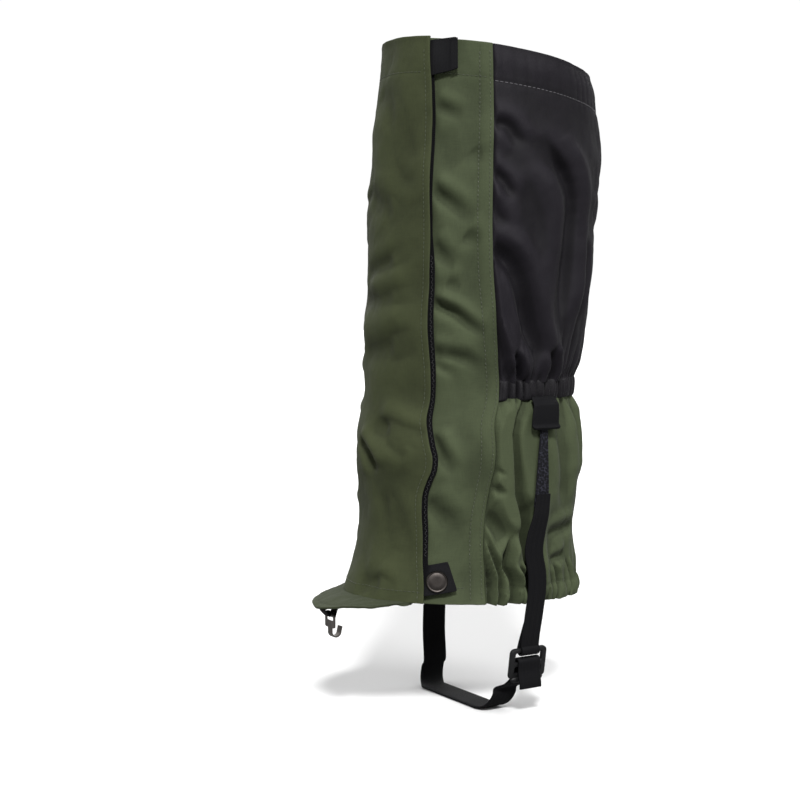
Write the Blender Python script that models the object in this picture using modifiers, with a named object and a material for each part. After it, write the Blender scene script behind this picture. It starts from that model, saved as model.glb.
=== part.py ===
"""Hiking gaiter for the left leg, worn: a front-closing fabric wrap with a stirrup strap.

Frame: metres, +Z up, the toe points to -Y and the wearer's outer side is +X.
The origin is on the leg's axis, at the level of the foot strap's underside.
"""
import math

import bmesh
import bpy
import numpy as np
from mathutils import Matrix, Vector

# ---------------------------------------------------------------- driving dimensions
# The wrap's horizontal sections: height, outer half-width (X), half-depth (Y), centre (Y)
SECTIONS = (
    (0.078, 0.0640, 0.0915, -0.0167),
    (0.115, 0.0602, 0.0815, -0.0135),
    (0.150, 0.0644, 0.0817, -0.0112),
    (0.180, 0.0680, 0.0830, -0.0125),
    (0.225, 0.0640, 0.0745, -0.0115),
    (0.265, 0.0695, 0.0803, -0.0068),
    (0.320, 0.0730, 0.0840, -0.0015),
    (0.380, 0.0736, 0.0847, 0.0030),
    (0.460, 0.0653, 0.0751, 0.0019),
)
RIM_HEIGHT, RIM_SLOPE = 0.4535, 0.0108      # mean height of the rim, rise towards the shin
HEM_HEIGHT, HEM_SLOPE = 0.0785, 0.0045      # mean height of the lower hem, rise to the front
FLAP_HINGE_FOOT = Vector((-0.0555, -0.0610, 0.080))   # the inner seam, where the front swings
FLAP_HINGE_HEAD = Vector((-0.0600, -0.0360, 0.460))
OUTER_SEAM = ((0.080, 67.0), (0.150, 70.0), (0.200, 74.0), (0.260, 70.0), (0.340, 63.0), (0.460, 61.0))
FLAP_EDGE = ((0.080, 41.0), (0.220, 38.0), (0.320, 34.0), (0.460, 29.0))
UNDERLAP = 30.0                             # degrees that the flap laps over the side panel

FABRIC = 0.0008                             # coated fabric with its lining
GAP = 0.0003                                # clearance between neighbouring solids
SEAM_GAP = 0.32                             # the same clearance as an angle round the leg
BAND_INSET = 0.80                           # how far the bands stop short of the slanted seams
TAPE = 0.0008                               # thickness of each half of the hook-and-loop
TAPE_GAP = 0.0004                           # clearance between long curved layers
TAPE_SWEEP = 17.0                           # its width, 25 mm, as an angle round the leg
FLAP_STAND = 2 * TAPE + 3 * TAPE_GAP + FABRIC           # the flap's outer face above the side panel
FLAP_RISE = 0.0010                          # the flap's top edge above the rim

BAND_HEIGHT, BAND_MIDDLE = 0.0135, 0.2252   # gathered ankle band
BAND_OUT, BAND_IN, BAND_WALL = 0.0012, -0.0020, 0.0006
BAND_STEPS = 40                             # facets round each band
HEM_BAND, HEM_IN = 0.0120, -0.0030          # elastic hem at the lower edge
RIM_HEM = 0.0280                            # drawcord hem at the rim
RIM_HEM_DEPTH = 0.0046
CORD_RADIUS = 0.0013
CORD_STATION = 184.0                        # where the drawcord leaves the hem, at the back
EYELET_HALF_ANGLE, EYELET_DROP = 3.5, 0.0120            # each side of there, and below the rim
EYELET_BORE, EYELET_BARREL, EYELET_FLANGE = 0.0019, 0.0024, 0.0038
LOCK_HEIGHT, LOCK_STAND = 0.4080, 0.0092    # cord lock's height, and its strands off the calf
CORD_BEND = 0.0058                          # radius of the cord's two kinds of bend, over 2 diameters
LOOP_CENTRE = -0.0500                       # centre of the loop's lowest bend, below the lock
LOCK_RADIUS, LOCK_HALF = 0.0064, 0.0100     # its barrel
LOCK_BORE, LOCK_FLOOR = 0.0047, -0.0088
BUTTON_RADIUS, BUTTON_CROWN, BUTTON_FOOT = 0.0043, 0.0140, -0.0043
BUTTON_TRAVEL = 0.0020
SPRING_REACH, SPRING_WIRE, SPRING_TURNS = 0.0030, 0.00025, 3.5
STRAND_HALF = 0.0017                        # half the distance between the two strands

WEBBING = 0.0014                            # thickness of the strap webbing
STRAP_WIDTH, FOOT_WIDTH, TAB_WIDTH = 0.0156, 0.0200, 0.0220
STRAP_X = 0.0712                            # strap's middle plane beside the ankle
PIVOT = Vector((STRAP_X, 0.0015, 0.2050))   # where the foot loop swings in the outer tab
BUCKLE_BAR = Vector((0.0640, -0.0053, 0.0450))
BUCKLE_TILT = math.radians(9.0)
BAR_HALF = 0.0015                           # half of the square section of the buckle's bars
BUCKLE_HALF_WIDTH, BUCKLE_RAIL = 0.0152, 0.0040
MIDDLE_BAR, LIP_BAR = (-0.0085, -0.0115), (-0.0165, -0.0205)       # top and bottom, down from the upper bar
ARCH_Y, ARCH_HALF, ARCH_TURN = -0.0200, 0.0300, 0.0160  # foot strap: its flat stretch and its bends
FOOT_THICKNESS = 0.0018
TAB_BOTTOM, TAB_PLY = 0.1990, 0.0010
SNAP_THETA, SNAP_HEIGHT, SNAP_RADIUS = 49.9, 0.0958, 0.0076
SNAP_TAB_UNDER = 0.0033                     # underside of the snapped tab above the side panel
SNAP_TAB = WEBBING * 0.8                    # and its thickness
PAD = 0.0008                                # thickness of the rim tab's hook and loop pads
RIM_TAB_DEPTH = 0.0270
PEAK_START, PEAK_SWEEP = -46.0, 84.0        # azimuths that the peak spans
PEAK_REACH, PEAK_DROP = 0.0250, 0.0100
LACE_BAR = Vector((0.0, -0.1268, 0.0715))   # where the lace hook swings
LACE_EYE, LACE_WALL = 0.0017, 0.0010

SMOOTH_ANGLE = math.radians(35.0)
Z_UP = Vector((0.0, 0.0, 1.0))


# ---------------------------------------------------------------- scene and materials
def clear_scene():
    for thing in list(bpy.data.objects):
        bpy.data.objects.remove(thing, do_unlink=True)


def new_collection(name):
    group = bpy.data.collections.new(name)
    bpy.context.scene.collection.children.link(group)
    return group


def material(name, colour, roughness, metallic=0.0):
    made = bpy.data.materials.new(name)
    made.use_nodes = True
    shader = made.node_tree.nodes["Principled BSDF"]
    shader.inputs["Base Color"].default_value = (*colour, 1.0)
    shader.inputs["Roughness"].default_value = roughness
    shader.inputs["Metallic"].default_value = metallic
    made.diffuse_color = (*colour, 1.0)
    return made


# ---------------------------------------------------------------- the wrap's surface
def smoothstep(value, start, end):
    ratio = min(max((value - start) / (end - start), 0.0), 1.0)
    return ratio * ratio * (3.0 - 2.0 * ratio)


def read_curve(stations, position, column=1):
    """Cubic through the stations, with slopes from their neighbours."""
    xs = [row[0] for row in stations]
    ys = [row[column] for row in stations]
    slopes = np.gradient(ys, xs)
    position = min(max(position, xs[0]), xs[-1])
    cell = min(max(int(np.searchsorted(xs, position)) - 1, 0), len(xs) - 2)
    span = xs[cell + 1] - xs[cell]
    t = (position - xs[cell]) / span
    return float((2 * t ** 3 - 3 * t ** 2 + 1) * ys[cell] + (t ** 3 - 2 * t ** 2 + t) * span * slopes[cell]
                 + (3 * t ** 2 - 2 * t ** 3) * ys[cell + 1] + (t ** 3 - t ** 2) * span * slopes[cell + 1])


def hinge_point(height):
    share = (height - FLAP_HINGE_FOOT.z) / (FLAP_HINGE_HEAD.z - FLAP_HINGE_FOOT.z)
    return FLAP_HINGE_FOOT.lerp(FLAP_HINGE_HEAD, share)


def inner_seam(height):
    """Azimuth of the inner seam, which is a straight line so that the front can swing."""
    depth, centre = read_curve(SECTIONS, height, 2), read_curve(SECTIONS, height, 3)
    return -math.degrees(math.acos((centre - hinge_point(height).y) / depth))


def wrap_point(theta, height, offset=0.0):
    """Point at an azimuth (degrees from the toe towards the outer side), off the outer face."""
    angle = math.radians(theta)
    width = read_curve(SECTIONS, height, 1)
    depth = read_curve(SECTIONS, height, 2)
    centre = read_curve(SECTIONS, height, 3)
    if math.sin(angle) < 0.0:
        width = hinge_point(height).x / math.sin(math.radians(inner_seam(height)))
    normal = Vector((math.sin(angle) / width, -math.cos(angle) / depth, 0.0)).normalized()
    return Vector((width * math.sin(angle), centre - depth * math.cos(angle), height)) + normal * offset


def wrap_frame(theta, height, offset=0.0):
    """Matrix at a point of the wrap: X along it, Y up it, Z out of it."""
    step = 0.2
    along = wrap_point(theta + step, height) - wrap_point(theta - step, height)
    rise = wrap_point(theta, height + 0.002) - wrap_point(theta, height - 0.002)
    out = along.cross(rise).normalized()
    along = along.normalized()
    up = out.cross(along)
    place = wrap_point(theta, height) + out * offset
    rows = zip(along, up, out, place)
    return Matrix([tuple(row) for row in rows] + [(0.0, 0.0, 0.0, 1.0)])


def rim(theta):
    return RIM_HEIGHT + RIM_SLOPE * math.cos(math.radians(theta))


def hem(theta):
    return HEM_HEIGHT + HEM_SLOPE * math.cos(math.radians(theta))


def flap_edge(height):
    return read_curve(FLAP_EDGE, height)


def outer_seam(height):
    return read_curve(OUTER_SEAM, height)


def flap_stand(theta, height):
    """The flap rises from the inner seam onto the tapes that hold it."""
    return FLAP_STAND * smoothstep(theta, -48.0, 2.0)


def front_hem(theta):
    """Lower edge of the front panel, arched over the instep."""
    return hem(theta) + 0.0070 * math.exp(-((theta + 30.0) / 26.0) ** 2) + 0.0006


# ---------------------------------------------------------------- mesh helpers
def finish(made, group, finish_material, smooth=True):
    group.objects.link(made)
    made.data.materials.append(finish_material)
    if smooth:
        made.data.shade_smooth()
        made.data.set_sharp_from_angle(angle=SMOOTH_ANGLE)
    return made


def mesh_object(name, points, faces, group, finish_material, smooth=True, outward=True):
    mesh = bpy.data.meshes.new(name)
    mesh.from_pydata([tuple(point) for point in points], [], faces)
    if outward:
        shell = bmesh.new()
        shell.from_mesh(mesh)
        bmesh.ops.recalc_face_normals(shell, faces=shell.faces)
        shell.to_mesh(mesh)
        shell.free()
    return finish(bpy.data.objects.new(name, mesh), group, finish_material, smooth)


def loft(name, rings, group, finish_material, smooth=True):
    """Closed body through rings of the same number of points, with flat ends."""
    count = len(rings[0])
    points = [point for ring in rings for point in ring]
    faces = []
    for row in range(len(rings) - 1):
        for column in range(count):
            following = (column + 1) % count
            faces.append((row * count + column, row * count + following,
                          (row + 1) * count + following, (row + 1) * count + column))
    faces.append(tuple(range(count)))
    faces.append(tuple((len(rings) - 1) * count + column for column in range(count)))
    return mesh_object(name, points, faces, group, finish_material, smooth)


def casing_loft(name, outer_rings, inner_rings, group, finish_material):
    """Hollow body between two sets of rings, open at both ends."""
    count, rows = len(outer_rings[0]), len(outer_rings)
    points = [point for ring in outer_rings + inner_rings for point in ring]
    shift = rows * count
    faces = []
    for row in range(rows - 1):
        for column in range(count):
            following = (column + 1) % count
            quad = (row * count + column, row * count + following,
                    (row + 1) * count + following, (row + 1) * count + column)
            faces.append(quad)
            faces.append(tuple(shift + corner for corner in reversed(quad)))
    for row in (0, rows - 1):
        for column in range(count):
            following = (column + 1) % count
            faces.append((row * count + column, row * count + following,
                          shift + row * count + following, shift + row * count + column))
    return mesh_object(name, points, faces, group, finish_material)


def panel(name, limits, low, high, stand, thickness, steps, group, finish_material):
    """Fabric panel: an open sheet on the wrap's surface, solidified inwards."""
    across, rise = steps
    middle = RIM_HEIGHT - HEM_HEIGHT
    points, faces = [], []
    for row in range(rise + 1):
        share = row / rise
        start, end = limits(HEM_HEIGHT + share * middle)
        for column in range(across + 1):
            theta = start + (end - start) * column / across
            bottom, top = low(theta), high(theta)
            start_here, end_here = limits(bottom + (top - bottom) * share)
            theta = start_here + (end_here - start_here) * column / across
            height = bottom + (top - bottom) * share
            points.append(wrap_point(theta, height, stand(theta, height)))
    for row in range(rise):
        for column in range(across):
            corner = row * (across + 1) + column
            faces.append((corner, corner + 1, corner + across + 2, corner + across + 1))
    made = mesh_object(name, points, faces, group, finish_material, outward=False)
    solid = made.modifiers.new("Thickness", "SOLIDIFY")
    solid.thickness = thickness
    solid.offset = -1.0
    solid.use_even_offset = True
    return made


def rectangle(inner, outer, bottom, top):
    return ((inner, bottom), (outer, bottom), (outer, top), (inner, top))


def band_rings(profile, start, end, steps, level):
    """Copies of an (offset, height) profile round the wrap."""
    rings = []
    for index in range(steps + 1):
        theta = start + (end - start) * index / steps
        base = level(theta)
        rings.append([wrap_point(theta, base + rise, offset) for offset, rise in profile])
    return rings


def ribbon(name, stations, thickness, group, finish_material):
    """Flat webbing: stations are (centre, width, width direction)."""
    centres = [Vector(row[0]) for row in stations]
    rings = []
    for index, (centre, width, across) in enumerate(stations):
        ahead = centres[min(index + 1, len(centres) - 1)] - centres[max(index - 1, 0)]
        across = Vector(across).normalized()
        face = ahead.cross(across).normalized() * thickness / 2
        side = across * width / 2
        centre = Vector(centre)
        rings.append([centre - side - face, centre + side - face,
                      centre + side + face, centre - side + face])
    return loft(name, rings, group, finish_material)


def patch(name, corners, stand, thickness, steps, group, finish_material):
    """Four-cornered patch on the wrap: corners are (azimuth, height), run outwards round it."""
    lower_left, lower_right, upper_right, upper_left = [Vector(corner) for corner in corners]
    points, faces = [], []
    for row in range(steps + 1):
        for column in range(steps + 1):
            bottom = lower_left.lerp(lower_right, column / steps)
            top = upper_left.lerp(upper_right, column / steps)
            theta, height = bottom.lerp(top, row / steps)
            points.append(wrap_point(theta, height, stand))
    for row in range(steps):
        for column in range(steps):
            corner = row * (steps + 1) + column
            faces.append((corner, corner + 1, corner + steps + 2, corner + steps + 1))
    made = mesh_object(name, points, faces, group, finish_material, outward=False)
    solid = made.modifiers.new("Thickness", "SOLIDIFY")
    solid.thickness = thickness
    solid.offset = -1.0
    return made


def turned(name, profile, steps, place, group, finish_material):
    """Body of revolution about its local Z axis; the profile is (radius, height), top to bottom."""
    mesh = bpy.data.meshes.new(name)
    count = len(profile)
    mesh.from_pydata([(radius, 0.0, height) for radius, height in profile],
                     [(index, (index + 1) % count) for index in range(count)
                      if index + 1 < count or profile[0][0] > 0.0 and profile[-1][0] > 0.0], [])
    made = finish(bpy.data.objects.new(name, mesh), group, finish_material)
    made.matrix_world = place
    spin = made.modifiers.new("Turn", "SCREW")
    spin.steps = spin.render_steps = steps
    spin.use_merge_vertices = True
    spin.merge_threshold = 0.00001
    spin.use_smooth_shade = True
    return made


def bent_wire(name, points, radius, group, finish_material, resolution=2, closed=False):
    curve = bpy.data.curves.new(name, "CURVE")
    curve.dimensions = "3D"
    curve.bevel_depth = radius
    curve.bevel_resolution = resolution
    curve.use_fill_caps = True
    spline = curve.splines.new("POLY")
    spline.points.add(len(points) - 1)
    for slot, point in zip(spline.points, points):
        slot.co = (*point, 1.0)
    spline.use_cyclic_u = closed
    made = bpy.data.objects.new(name, curve)
    group.objects.link(made)
    curve.materials.append(finish_material)
    return made


def smooth_route(points, count):
    """Evenly spread points on a smooth curve through the route's own points."""
    knots = np.array([tuple(point) for point in points])
    knots = np.vstack([2 * knots[0] - knots[1], knots, 2 * knots[-1] - knots[-2]])
    dense = []
    for index in range(1, len(knots) - 2):
        before, start, end, after = knots[index - 1:index + 3]
        for t in np.linspace(0.0, 1.0, 24, endpoint=False):
            dense.append(0.5 * (2 * start + (end - before) * t
                                + (2 * before - 5 * start + 4 * end - after) * t ** 2
                                + (3 * start - before - 3 * end + after) * t ** 3))
    dense.append(knots[-2])
    dense = np.array(dense)
    length = np.concatenate([[0.0], np.cumsum(np.linalg.norm(np.diff(dense, axis=0), axis=1))])
    even = np.linspace(0.0, length[-1], count)
    columns = [np.interp(even, length, dense[:, axis]) for axis in range(3)]
    return [Vector(place) for place in zip(*columns)]


def cut(made, cutters, operation="DIFFERENCE"):
    for cutter in cutters:
        step = made.modifiers.new(cutter.name, "BOOLEAN")
        step.operation = operation
        step.object = cutter
        step.solver = "EXACT"


def hide_cutter(cutter):
    cutter.hide_render = True
    cutter.display_type = "WIRE"
    return cutter


def outline_object(name, outlines, thickness, place, group, finish_material):
    """Flat plate from closed outlines in its local XY plane, centred on it."""
    curve = bpy.data.curves.new(name, "CURVE")
    curve.dimensions = "2D"
    curve.fill_mode = "BOTH"
    curve.extrude = thickness / 2
    for outline in outlines:
        spline = curve.splines.new("POLY")
        spline.points.add(len(outline) - 1)
        for slot, (across, along) in zip(spline.points, outline):
            slot.co = (across, along, 0.0, 1.0)
        spline.use_cyclic_u = True
    made = bpy.data.objects.new(name, curve)
    made.matrix_world = place
    group.objects.link(made)
    bpy.context.view_layer.update()
    solid = bpy.data.meshes.new_from_object(made.evaluated_get(bpy.context.evaluated_depsgraph_get()))
    bpy.data.objects.remove(made, do_unlink=True)
    welded = bmesh.new()
    welded.from_mesh(solid)
    bmesh.ops.remove_doubles(welded, verts=welded.verts, dist=0.00001)
    bmesh.ops.recalc_face_normals(welded, faces=welded.faces)
    welded.to_mesh(solid)
    welded.free()
    solid.materials.clear()
    plate = bpy.data.objects.new(name, solid)
    plate.matrix_world = place
    return finish(plate, group, finish_material)


def rounded_box(half_width, half_height, radius, corner_steps=4, centre=(0.0, 0.0)):
    points = []
    for quarter, (sign_x, sign_y) in enumerate(((1, 1), (-1, 1), (-1, -1), (1, -1))):
        for step in range(corner_steps + 1):
            angle = math.radians(90.0 * (quarter + step / corner_steps))
            points.append((centre[0] + sign_x * (half_width - radius) + radius * math.cos(angle),
                           centre[1] + sign_y * (half_height - radius) + radius * math.sin(angle)))
    return points


def arc(radius, start, end, count):
    angles = np.radians(np.linspace(start, end, count))
    return [(radius * math.cos(angle), radius * math.sin(angle)) for angle in angles]


# ---------------------------------------------------------------- the wrap's panels
def build_panels(group, green, black):
    seam = SEAM_GAP / 2
    band_top = BAND_MIDDLE + BAND_HEIGHT / 2 + GAP
    band_bottom = BAND_MIDDLE - BAND_HEIGHT / 2 - GAP

    def flush(theta, height):
        return 0.0

    panel("side_panel", lambda z: (flap_edge(z) - UNDERLAP, outer_seam(z) - seam), hem, rim, flush,
          FABRIC, (12, 32), group, green)
    panel("front_flap", lambda z: (inner_seam(z) + seam, flap_edge(z)), front_hem,
          lambda theta: rim(theta) + FLAP_RISE, flap_stand, FABRIC, (18, 32), group, green)
    panel("calf_panel", lambda z: (outer_seam(z) + seam, 360.0 + inner_seam(z) - seam),
          lambda theta: band_top, lambda theta: rim(theta) - RIM_HEM - GAP, flush,
          FABRIC, (36, 9), group, black)
    panel("heel_panel", lambda z: (outer_seam(z) + seam, 360.0 + inner_seam(z) - seam),
          lambda theta: hem(theta) + HEM_BAND + GAP, lambda theta: band_bottom, flush,
          FABRIC, (36, 8), group, green)


def build_casing(name, filling, outer, level, group, fabric, elastic):
    """A sewn channel round the back of the wrap, with the elastic that gathers it inside."""
    inner_face, outer_face, bottom, top = outer
    reference = level(180.0)
    start = outer_seam(reference) + BAND_INSET
    end = 360.0 + inner_seam(reference) - BAND_INSET
    rings = []
    for inset in (0.0, BAND_WALL, BAND_WALL + GAP):
        profile = rectangle(inner_face + inset, outer_face - inset, bottom + inset, top - inset)
        rings.append(band_rings(profile, start, end, BAND_STEPS, level))
    casing_loft(name, rings[0], rings[1], group, fabric)
    loft(filling, rings[2], group, elastic)


def build_bands(group, green, black, elastic):
    build_casing("ankle_band", "ankle_elastic", (BAND_IN, BAND_OUT, -BAND_HEIGHT / 2, BAND_HEIGHT / 2),
                 lambda theta: BAND_MIDDLE, group, black, elastic)
    build_casing("lower_hem", "hem_elastic", (HEM_IN, 0.0, 0.0, HEM_BAND), hem, group, green, elastic)


def build_rim_hem(group, cutters, black, cord, metal):
    """Drawcord hem, its two eyelets and the drawcord that runs inside it."""
    start = outer_seam(RIM_HEIGHT) + BAND_INSET
    end = 360.0 + inner_seam(RIM_HEIGHT) - BAND_INSET
    stitched = 0.0030                       # of the hem at its upper and lower edges
    outer = rectangle(-RIM_HEM_DEPTH, 0.0, -RIM_HEM, 0.0)
    hollow = rectangle(-RIM_HEM_DEPTH + BAND_WALL, -BAND_WALL, -RIM_HEM + stitched, -stitched)
    rim_hem = casing_loft("rim_hem", band_rings(outer, start, end, BAND_STEPS, rim),
                          band_rings(hollow, start, end, BAND_STEPS, rim), group, black)
    inset = 1.0                             # degrees from each end of the cord to the seam
    clear = EYELET_HALF_ANGLE + 1.6         # and to the middle of the eyelets
    for name, first, last in (("drawcord_outer", start + inset, CORD_STATION - clear),
                              ("drawcord_inner", CORD_STATION + clear, end - inset)):
        thetas = np.linspace(first, last, BAND_STEPS // 2 + 1)
        route = [wrap_point(theta, rim(theta) - EYELET_DROP, -RIM_HEM_DEPTH / 2) for theta in thetas]
        bent_wire(name, route, CORD_RADIUS, group, cord)
    holes = []
    for name, side in (("eyelet_outer", -1), ("eyelet_inner", 1)):
        theta = CORD_STATION + side * EYELET_HALF_ANGLE
        place = wrap_frame(theta, rim(theta) - EYELET_DROP)
        seat, foot = GAP + 0.0001, -0.0008
        turned(name, ((EYELET_BORE, 0.0011), (EYELET_FLANGE, 0.0009), (EYELET_FLANGE, seat),
                      (EYELET_BARREL, seat), (EYELET_BARREL, foot), (EYELET_BORE, foot)),
               24, place, group, metal)
        bpy.ops.mesh.primitive_cylinder_add(vertices=24, radius=EYELET_BARREL + GAP, depth=0.0040)
        hole = hide_cutter(bpy.context.object)
        hole.name = name + "_hole"
        hole.matrix_world = place
        move_to(hole, cutters)
        holes.append(hole)
    cut(rim_hem, holes)


def move_to(made, group):
    for owner in list(made.users_collection):
        owner.objects.unlink(made)
    group.objects.link(made)


# ---------------------------------------------------------------- drawcord loop and cord lock
def lock_frame():
    """Matrix of the cord lock: X along its barrel, Y up the strands, Z away from the leg."""
    upper = wrap_point(CORD_STATION, LOCK_HEIGHT + 0.012, LOCK_STAND)
    lower = wrap_point(CORD_STATION, LOCK_HEIGHT - 0.030, LOCK_STAND)
    up = (upper - lower).normalized()
    along = wrap_point(CORD_STATION + 1.0, LOCK_HEIGHT) - wrap_point(CORD_STATION - 1.0, LOCK_HEIGHT)
    along = along.normalized()
    out = along.cross(up).normalized()
    up = out.cross(along)
    place = wrap_point(CORD_STATION, LOCK_HEIGHT, LOCK_STAND)
    rows = zip(along, up, out, place)
    return Matrix([tuple(row) for row in rows] + [(0.0, 0.0, 0.0, 1.0)])


def half_loop(side):
    """One strand of the free loop, from its eyelet down to the loop's lowest bend."""
    lock = lock_frame()
    theta = CORD_STATION + side * EYELET_HALF_ANGLE
    eyelet = wrap_frame(theta, rim(theta) - EYELET_DROP)
    straight = LOCK_STAND - CORD_BEND
    leaving = [(0.0, -0.0012), (0.0, 0.0010), (0.0, straight)]
    leaving += [(drop - CORD_BEND, straight + out) for out, drop in arc(CORD_BEND, 67.5, 0.0, 4)]
    hanging = ((STRAND_HALF, 0.0085), (STRAND_HALF, 0.0), (STRAND_HALF, -0.0110), (STRAND_HALF, -0.0210),
               (0.0025, -0.0290), (0.0043, -0.0390))
    turning = [(across, LOOP_CENTRE + along) for across, along in arc(CORD_BEND, 15.0, -75.0, 7)]
    return ([eyelet @ Vector((0.0, along, out)) for along, out in leaving]
            + [lock @ Vector((side * across, along, 0.0)) for across, along in (*hanging, *turning)])


def loop_route():
    """The free loop of drawcord: out of one eyelet, through the lock, and back into the other."""
    bottom = lock_frame() @ Vector((0.0, LOOP_CENTRE - CORD_BEND, 0.0))
    return half_loop(-1) + [bottom] + list(reversed(half_loop(1)))


def build_cord_lock(group, cutters, cord, plastic, metal):
    lock = lock_frame()
    bent_wire("drawcord_loop", smooth_route(loop_route(), 52), CORD_RADIUS, group, cord)
    turn = Matrix.Rotation(math.radians(90.0), 4, "Y")          # local Z of a turned body onto the barrel
    axis = lock @ turn
    rim_chamfer, foot_chamfer = 0.0009, 0.0016
    barrel = turned("cord_lock_barrel",
                    ((LOCK_BORE, LOCK_HALF), (LOCK_RADIUS - rim_chamfer, LOCK_HALF),
                     (LOCK_RADIUS, LOCK_HALF - rim_chamfer), (LOCK_RADIUS, foot_chamfer - LOCK_HALF),
                     (LOCK_RADIUS - foot_chamfer, -LOCK_HALF), (0.0, -LOCK_HALF),
                     (0.0, LOCK_FLOOR), (LOCK_BORE, LOCK_FLOOR)), 24, axis, group, plastic)
    button = turned("cord_lock_button",
                    ((0.0, BUTTON_CROWN), (BUTTON_RADIUS - 0.0010, BUTTON_CROWN - 0.0002),
                     (BUTTON_RADIUS, BUTTON_CROWN - 0.0012), (BUTTON_RADIUS, BUTTON_FOOT),
                     (0.0, BUTTON_FOOT)), 24, axis, group, plastic)
    room = CORD_RADIUS + 0.0004
    strands = STRAND_HALF + room
    for target, first, last in ((barrel, -strands, strands), (button, -strands, strands + BUTTON_TRAVEL)):
        outline = rounded_box((last - first) / 2, room, room * 0.98, 5, ((first + last) / 2, 0.0))
        # the slot's outline lies across the strands, so its plate is turned onto the strands' direction
        place = lock @ Matrix.Rotation(math.radians(90.0), 4, "X")
        slot = outline_object(target.name + "_slot", [outline], 0.0200, place, cutters, plastic)
        cut(target, [hide_cutter(slot)])
    low = LOCK_FLOOR + SPRING_WIRE + GAP
    high = BUTTON_FOOT - SPRING_WIRE - GAP
    points = []
    for share in np.linspace(0.0, 1.0, int(SPRING_TURNS * 10) + 1):
        angle = share * SPRING_TURNS * 2 * math.pi
        points.append(axis @ Vector((SPRING_REACH * math.cos(angle), SPRING_REACH * math.sin(angle),
                                     low + (high - low) * share)))
    bent_wire("cord_lock_spring", points, SPRING_WIRE, group, metal, resolution=1)


# ---------------------------------------------------------------- closure
def build_closure(group, black, metal):
    """Hook-and-loop down the front, the tab at the rim and the snapped tab at the foot."""
    tape_low, below_rim, inset = SNAP_HEIGHT + 0.0200, 0.0040, 3.0
    for name, outer in (("loop_tape", TAPE_GAP + TAPE), ("hook_tape", 2 * TAPE_GAP + 2 * TAPE)):
        panel(name, lambda z: (flap_edge(z) - inset - TAPE_SWEEP, flap_edge(z) - inset),
              lambda theta: tape_low, lambda theta: rim(theta) - below_rim,
              lambda theta, height, outer=outer: outer, TAPE, (4, 28), group, black)

    edge = flap_edge(RIM_HEIGHT)
    low = rim(edge) - RIM_TAB_DEPTH
    high = rim(edge) - 0.0010
    patch("rim_loop_patch", ((edge + 3.0, low), (edge + 18.0, low), (edge + 18.0, high), (edge + 3.0, high)),
          GAP + PAD, PAD, 4, group, black)
    patch("rim_hook_pad", ((edge + 3.6, low + 0.001), (edge + 12.6, low + 0.001),
                           (edge + 12.6, high - 0.001), (edge + 3.6, high - 0.001)),
          2 * GAP + 2 * PAD, PAD, 4, group, black)
    patch("rim_tab", ((edge + 1.0, low), (edge + 13.6, low + 0.001), (edge + 13.0, high + 0.003),
                      (edge + 1.0, high + 0.001)), 3 * GAP + 2 * PAD + WEBBING, WEBBING, 4, group, black)

    foot_edge = flap_edge(SNAP_HEIGHT)
    patch("snap_tab", ((foot_edge + 0.7, 0.0868), (60.0, 0.0916), (53.6, 0.1100), (foot_edge + 0.7, 0.1066)),
          SNAP_TAB_UNDER + SNAP_TAB, SNAP_TAB, 5, group, black)
    place = wrap_frame(SNAP_THETA, SNAP_HEIGHT)
    seat = SNAP_TAB_UNDER + SNAP_TAB + GAP
    turned("snap_cap", ((0.0, seat + 0.0021), (SNAP_RADIUS * 0.78, seat + 0.0020),
                        (SNAP_RADIUS * 0.90, seat + 0.0016), (SNAP_RADIUS, seat + 0.0008),
                        (SNAP_RADIUS, seat + 0.0001), (0.0, seat + 0.0001)), 32, place, group, metal)
    socket_low, socket_high = 0.0014, SNAP_TAB_UNDER - GAP - 0.0001
    turned("snap_socket", ((0.0037, socket_high), (0.0054, socket_high), (0.0058, socket_high - 0.0004),
                           (0.0056, socket_low), (0.0037, socket_low)), 24, place, group, metal)
    turned("snap_stud", ((0.0, 0.0020), (0.0013, 0.0020), (0.0017, 0.0017), (0.0014, 0.0010),
                         (0.0044, 0.0008), (0.0046, GAP + 0.0001), (0.0, GAP + 0.0001)),
           24, place, group, metal)
    turned("snap_post", ((0.0, -FABRIC - GAP), (0.0046, -FABRIC - GAP), (0.0050, -FABRIC - 0.0007),
                         (0.0046, -FABRIC - 0.0011), (0.0, -FABRIC - 0.0011)), 24, place, group, metal)


# ---------------------------------------------------------------- peak and lace hook
def peak_edge(theta, share):
    """Point on the peak: share 0 at the front panel's hem, 1 at its free edge."""
    root = wrap_point(theta, front_hem(theta) - 2 * GAP, flap_stand(theta, 0.0) - FABRIC / 2)
    reach = math.cos(math.radians((theta + 6.0) * 90.0 / 50.0))
    reach = max(reach, 0.0) ** 0.8
    out = Vector((math.sin(math.radians(theta)) * 0.55, -1.0, 0.0)).normalized()
    forward = PEAK_REACH * reach + 0.0035
    fall = PEAK_DROP * reach + 0.0030
    return root + out * forward * share - Z_UP * fall * (0.35 * share + 0.65 * share ** 2)


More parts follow.
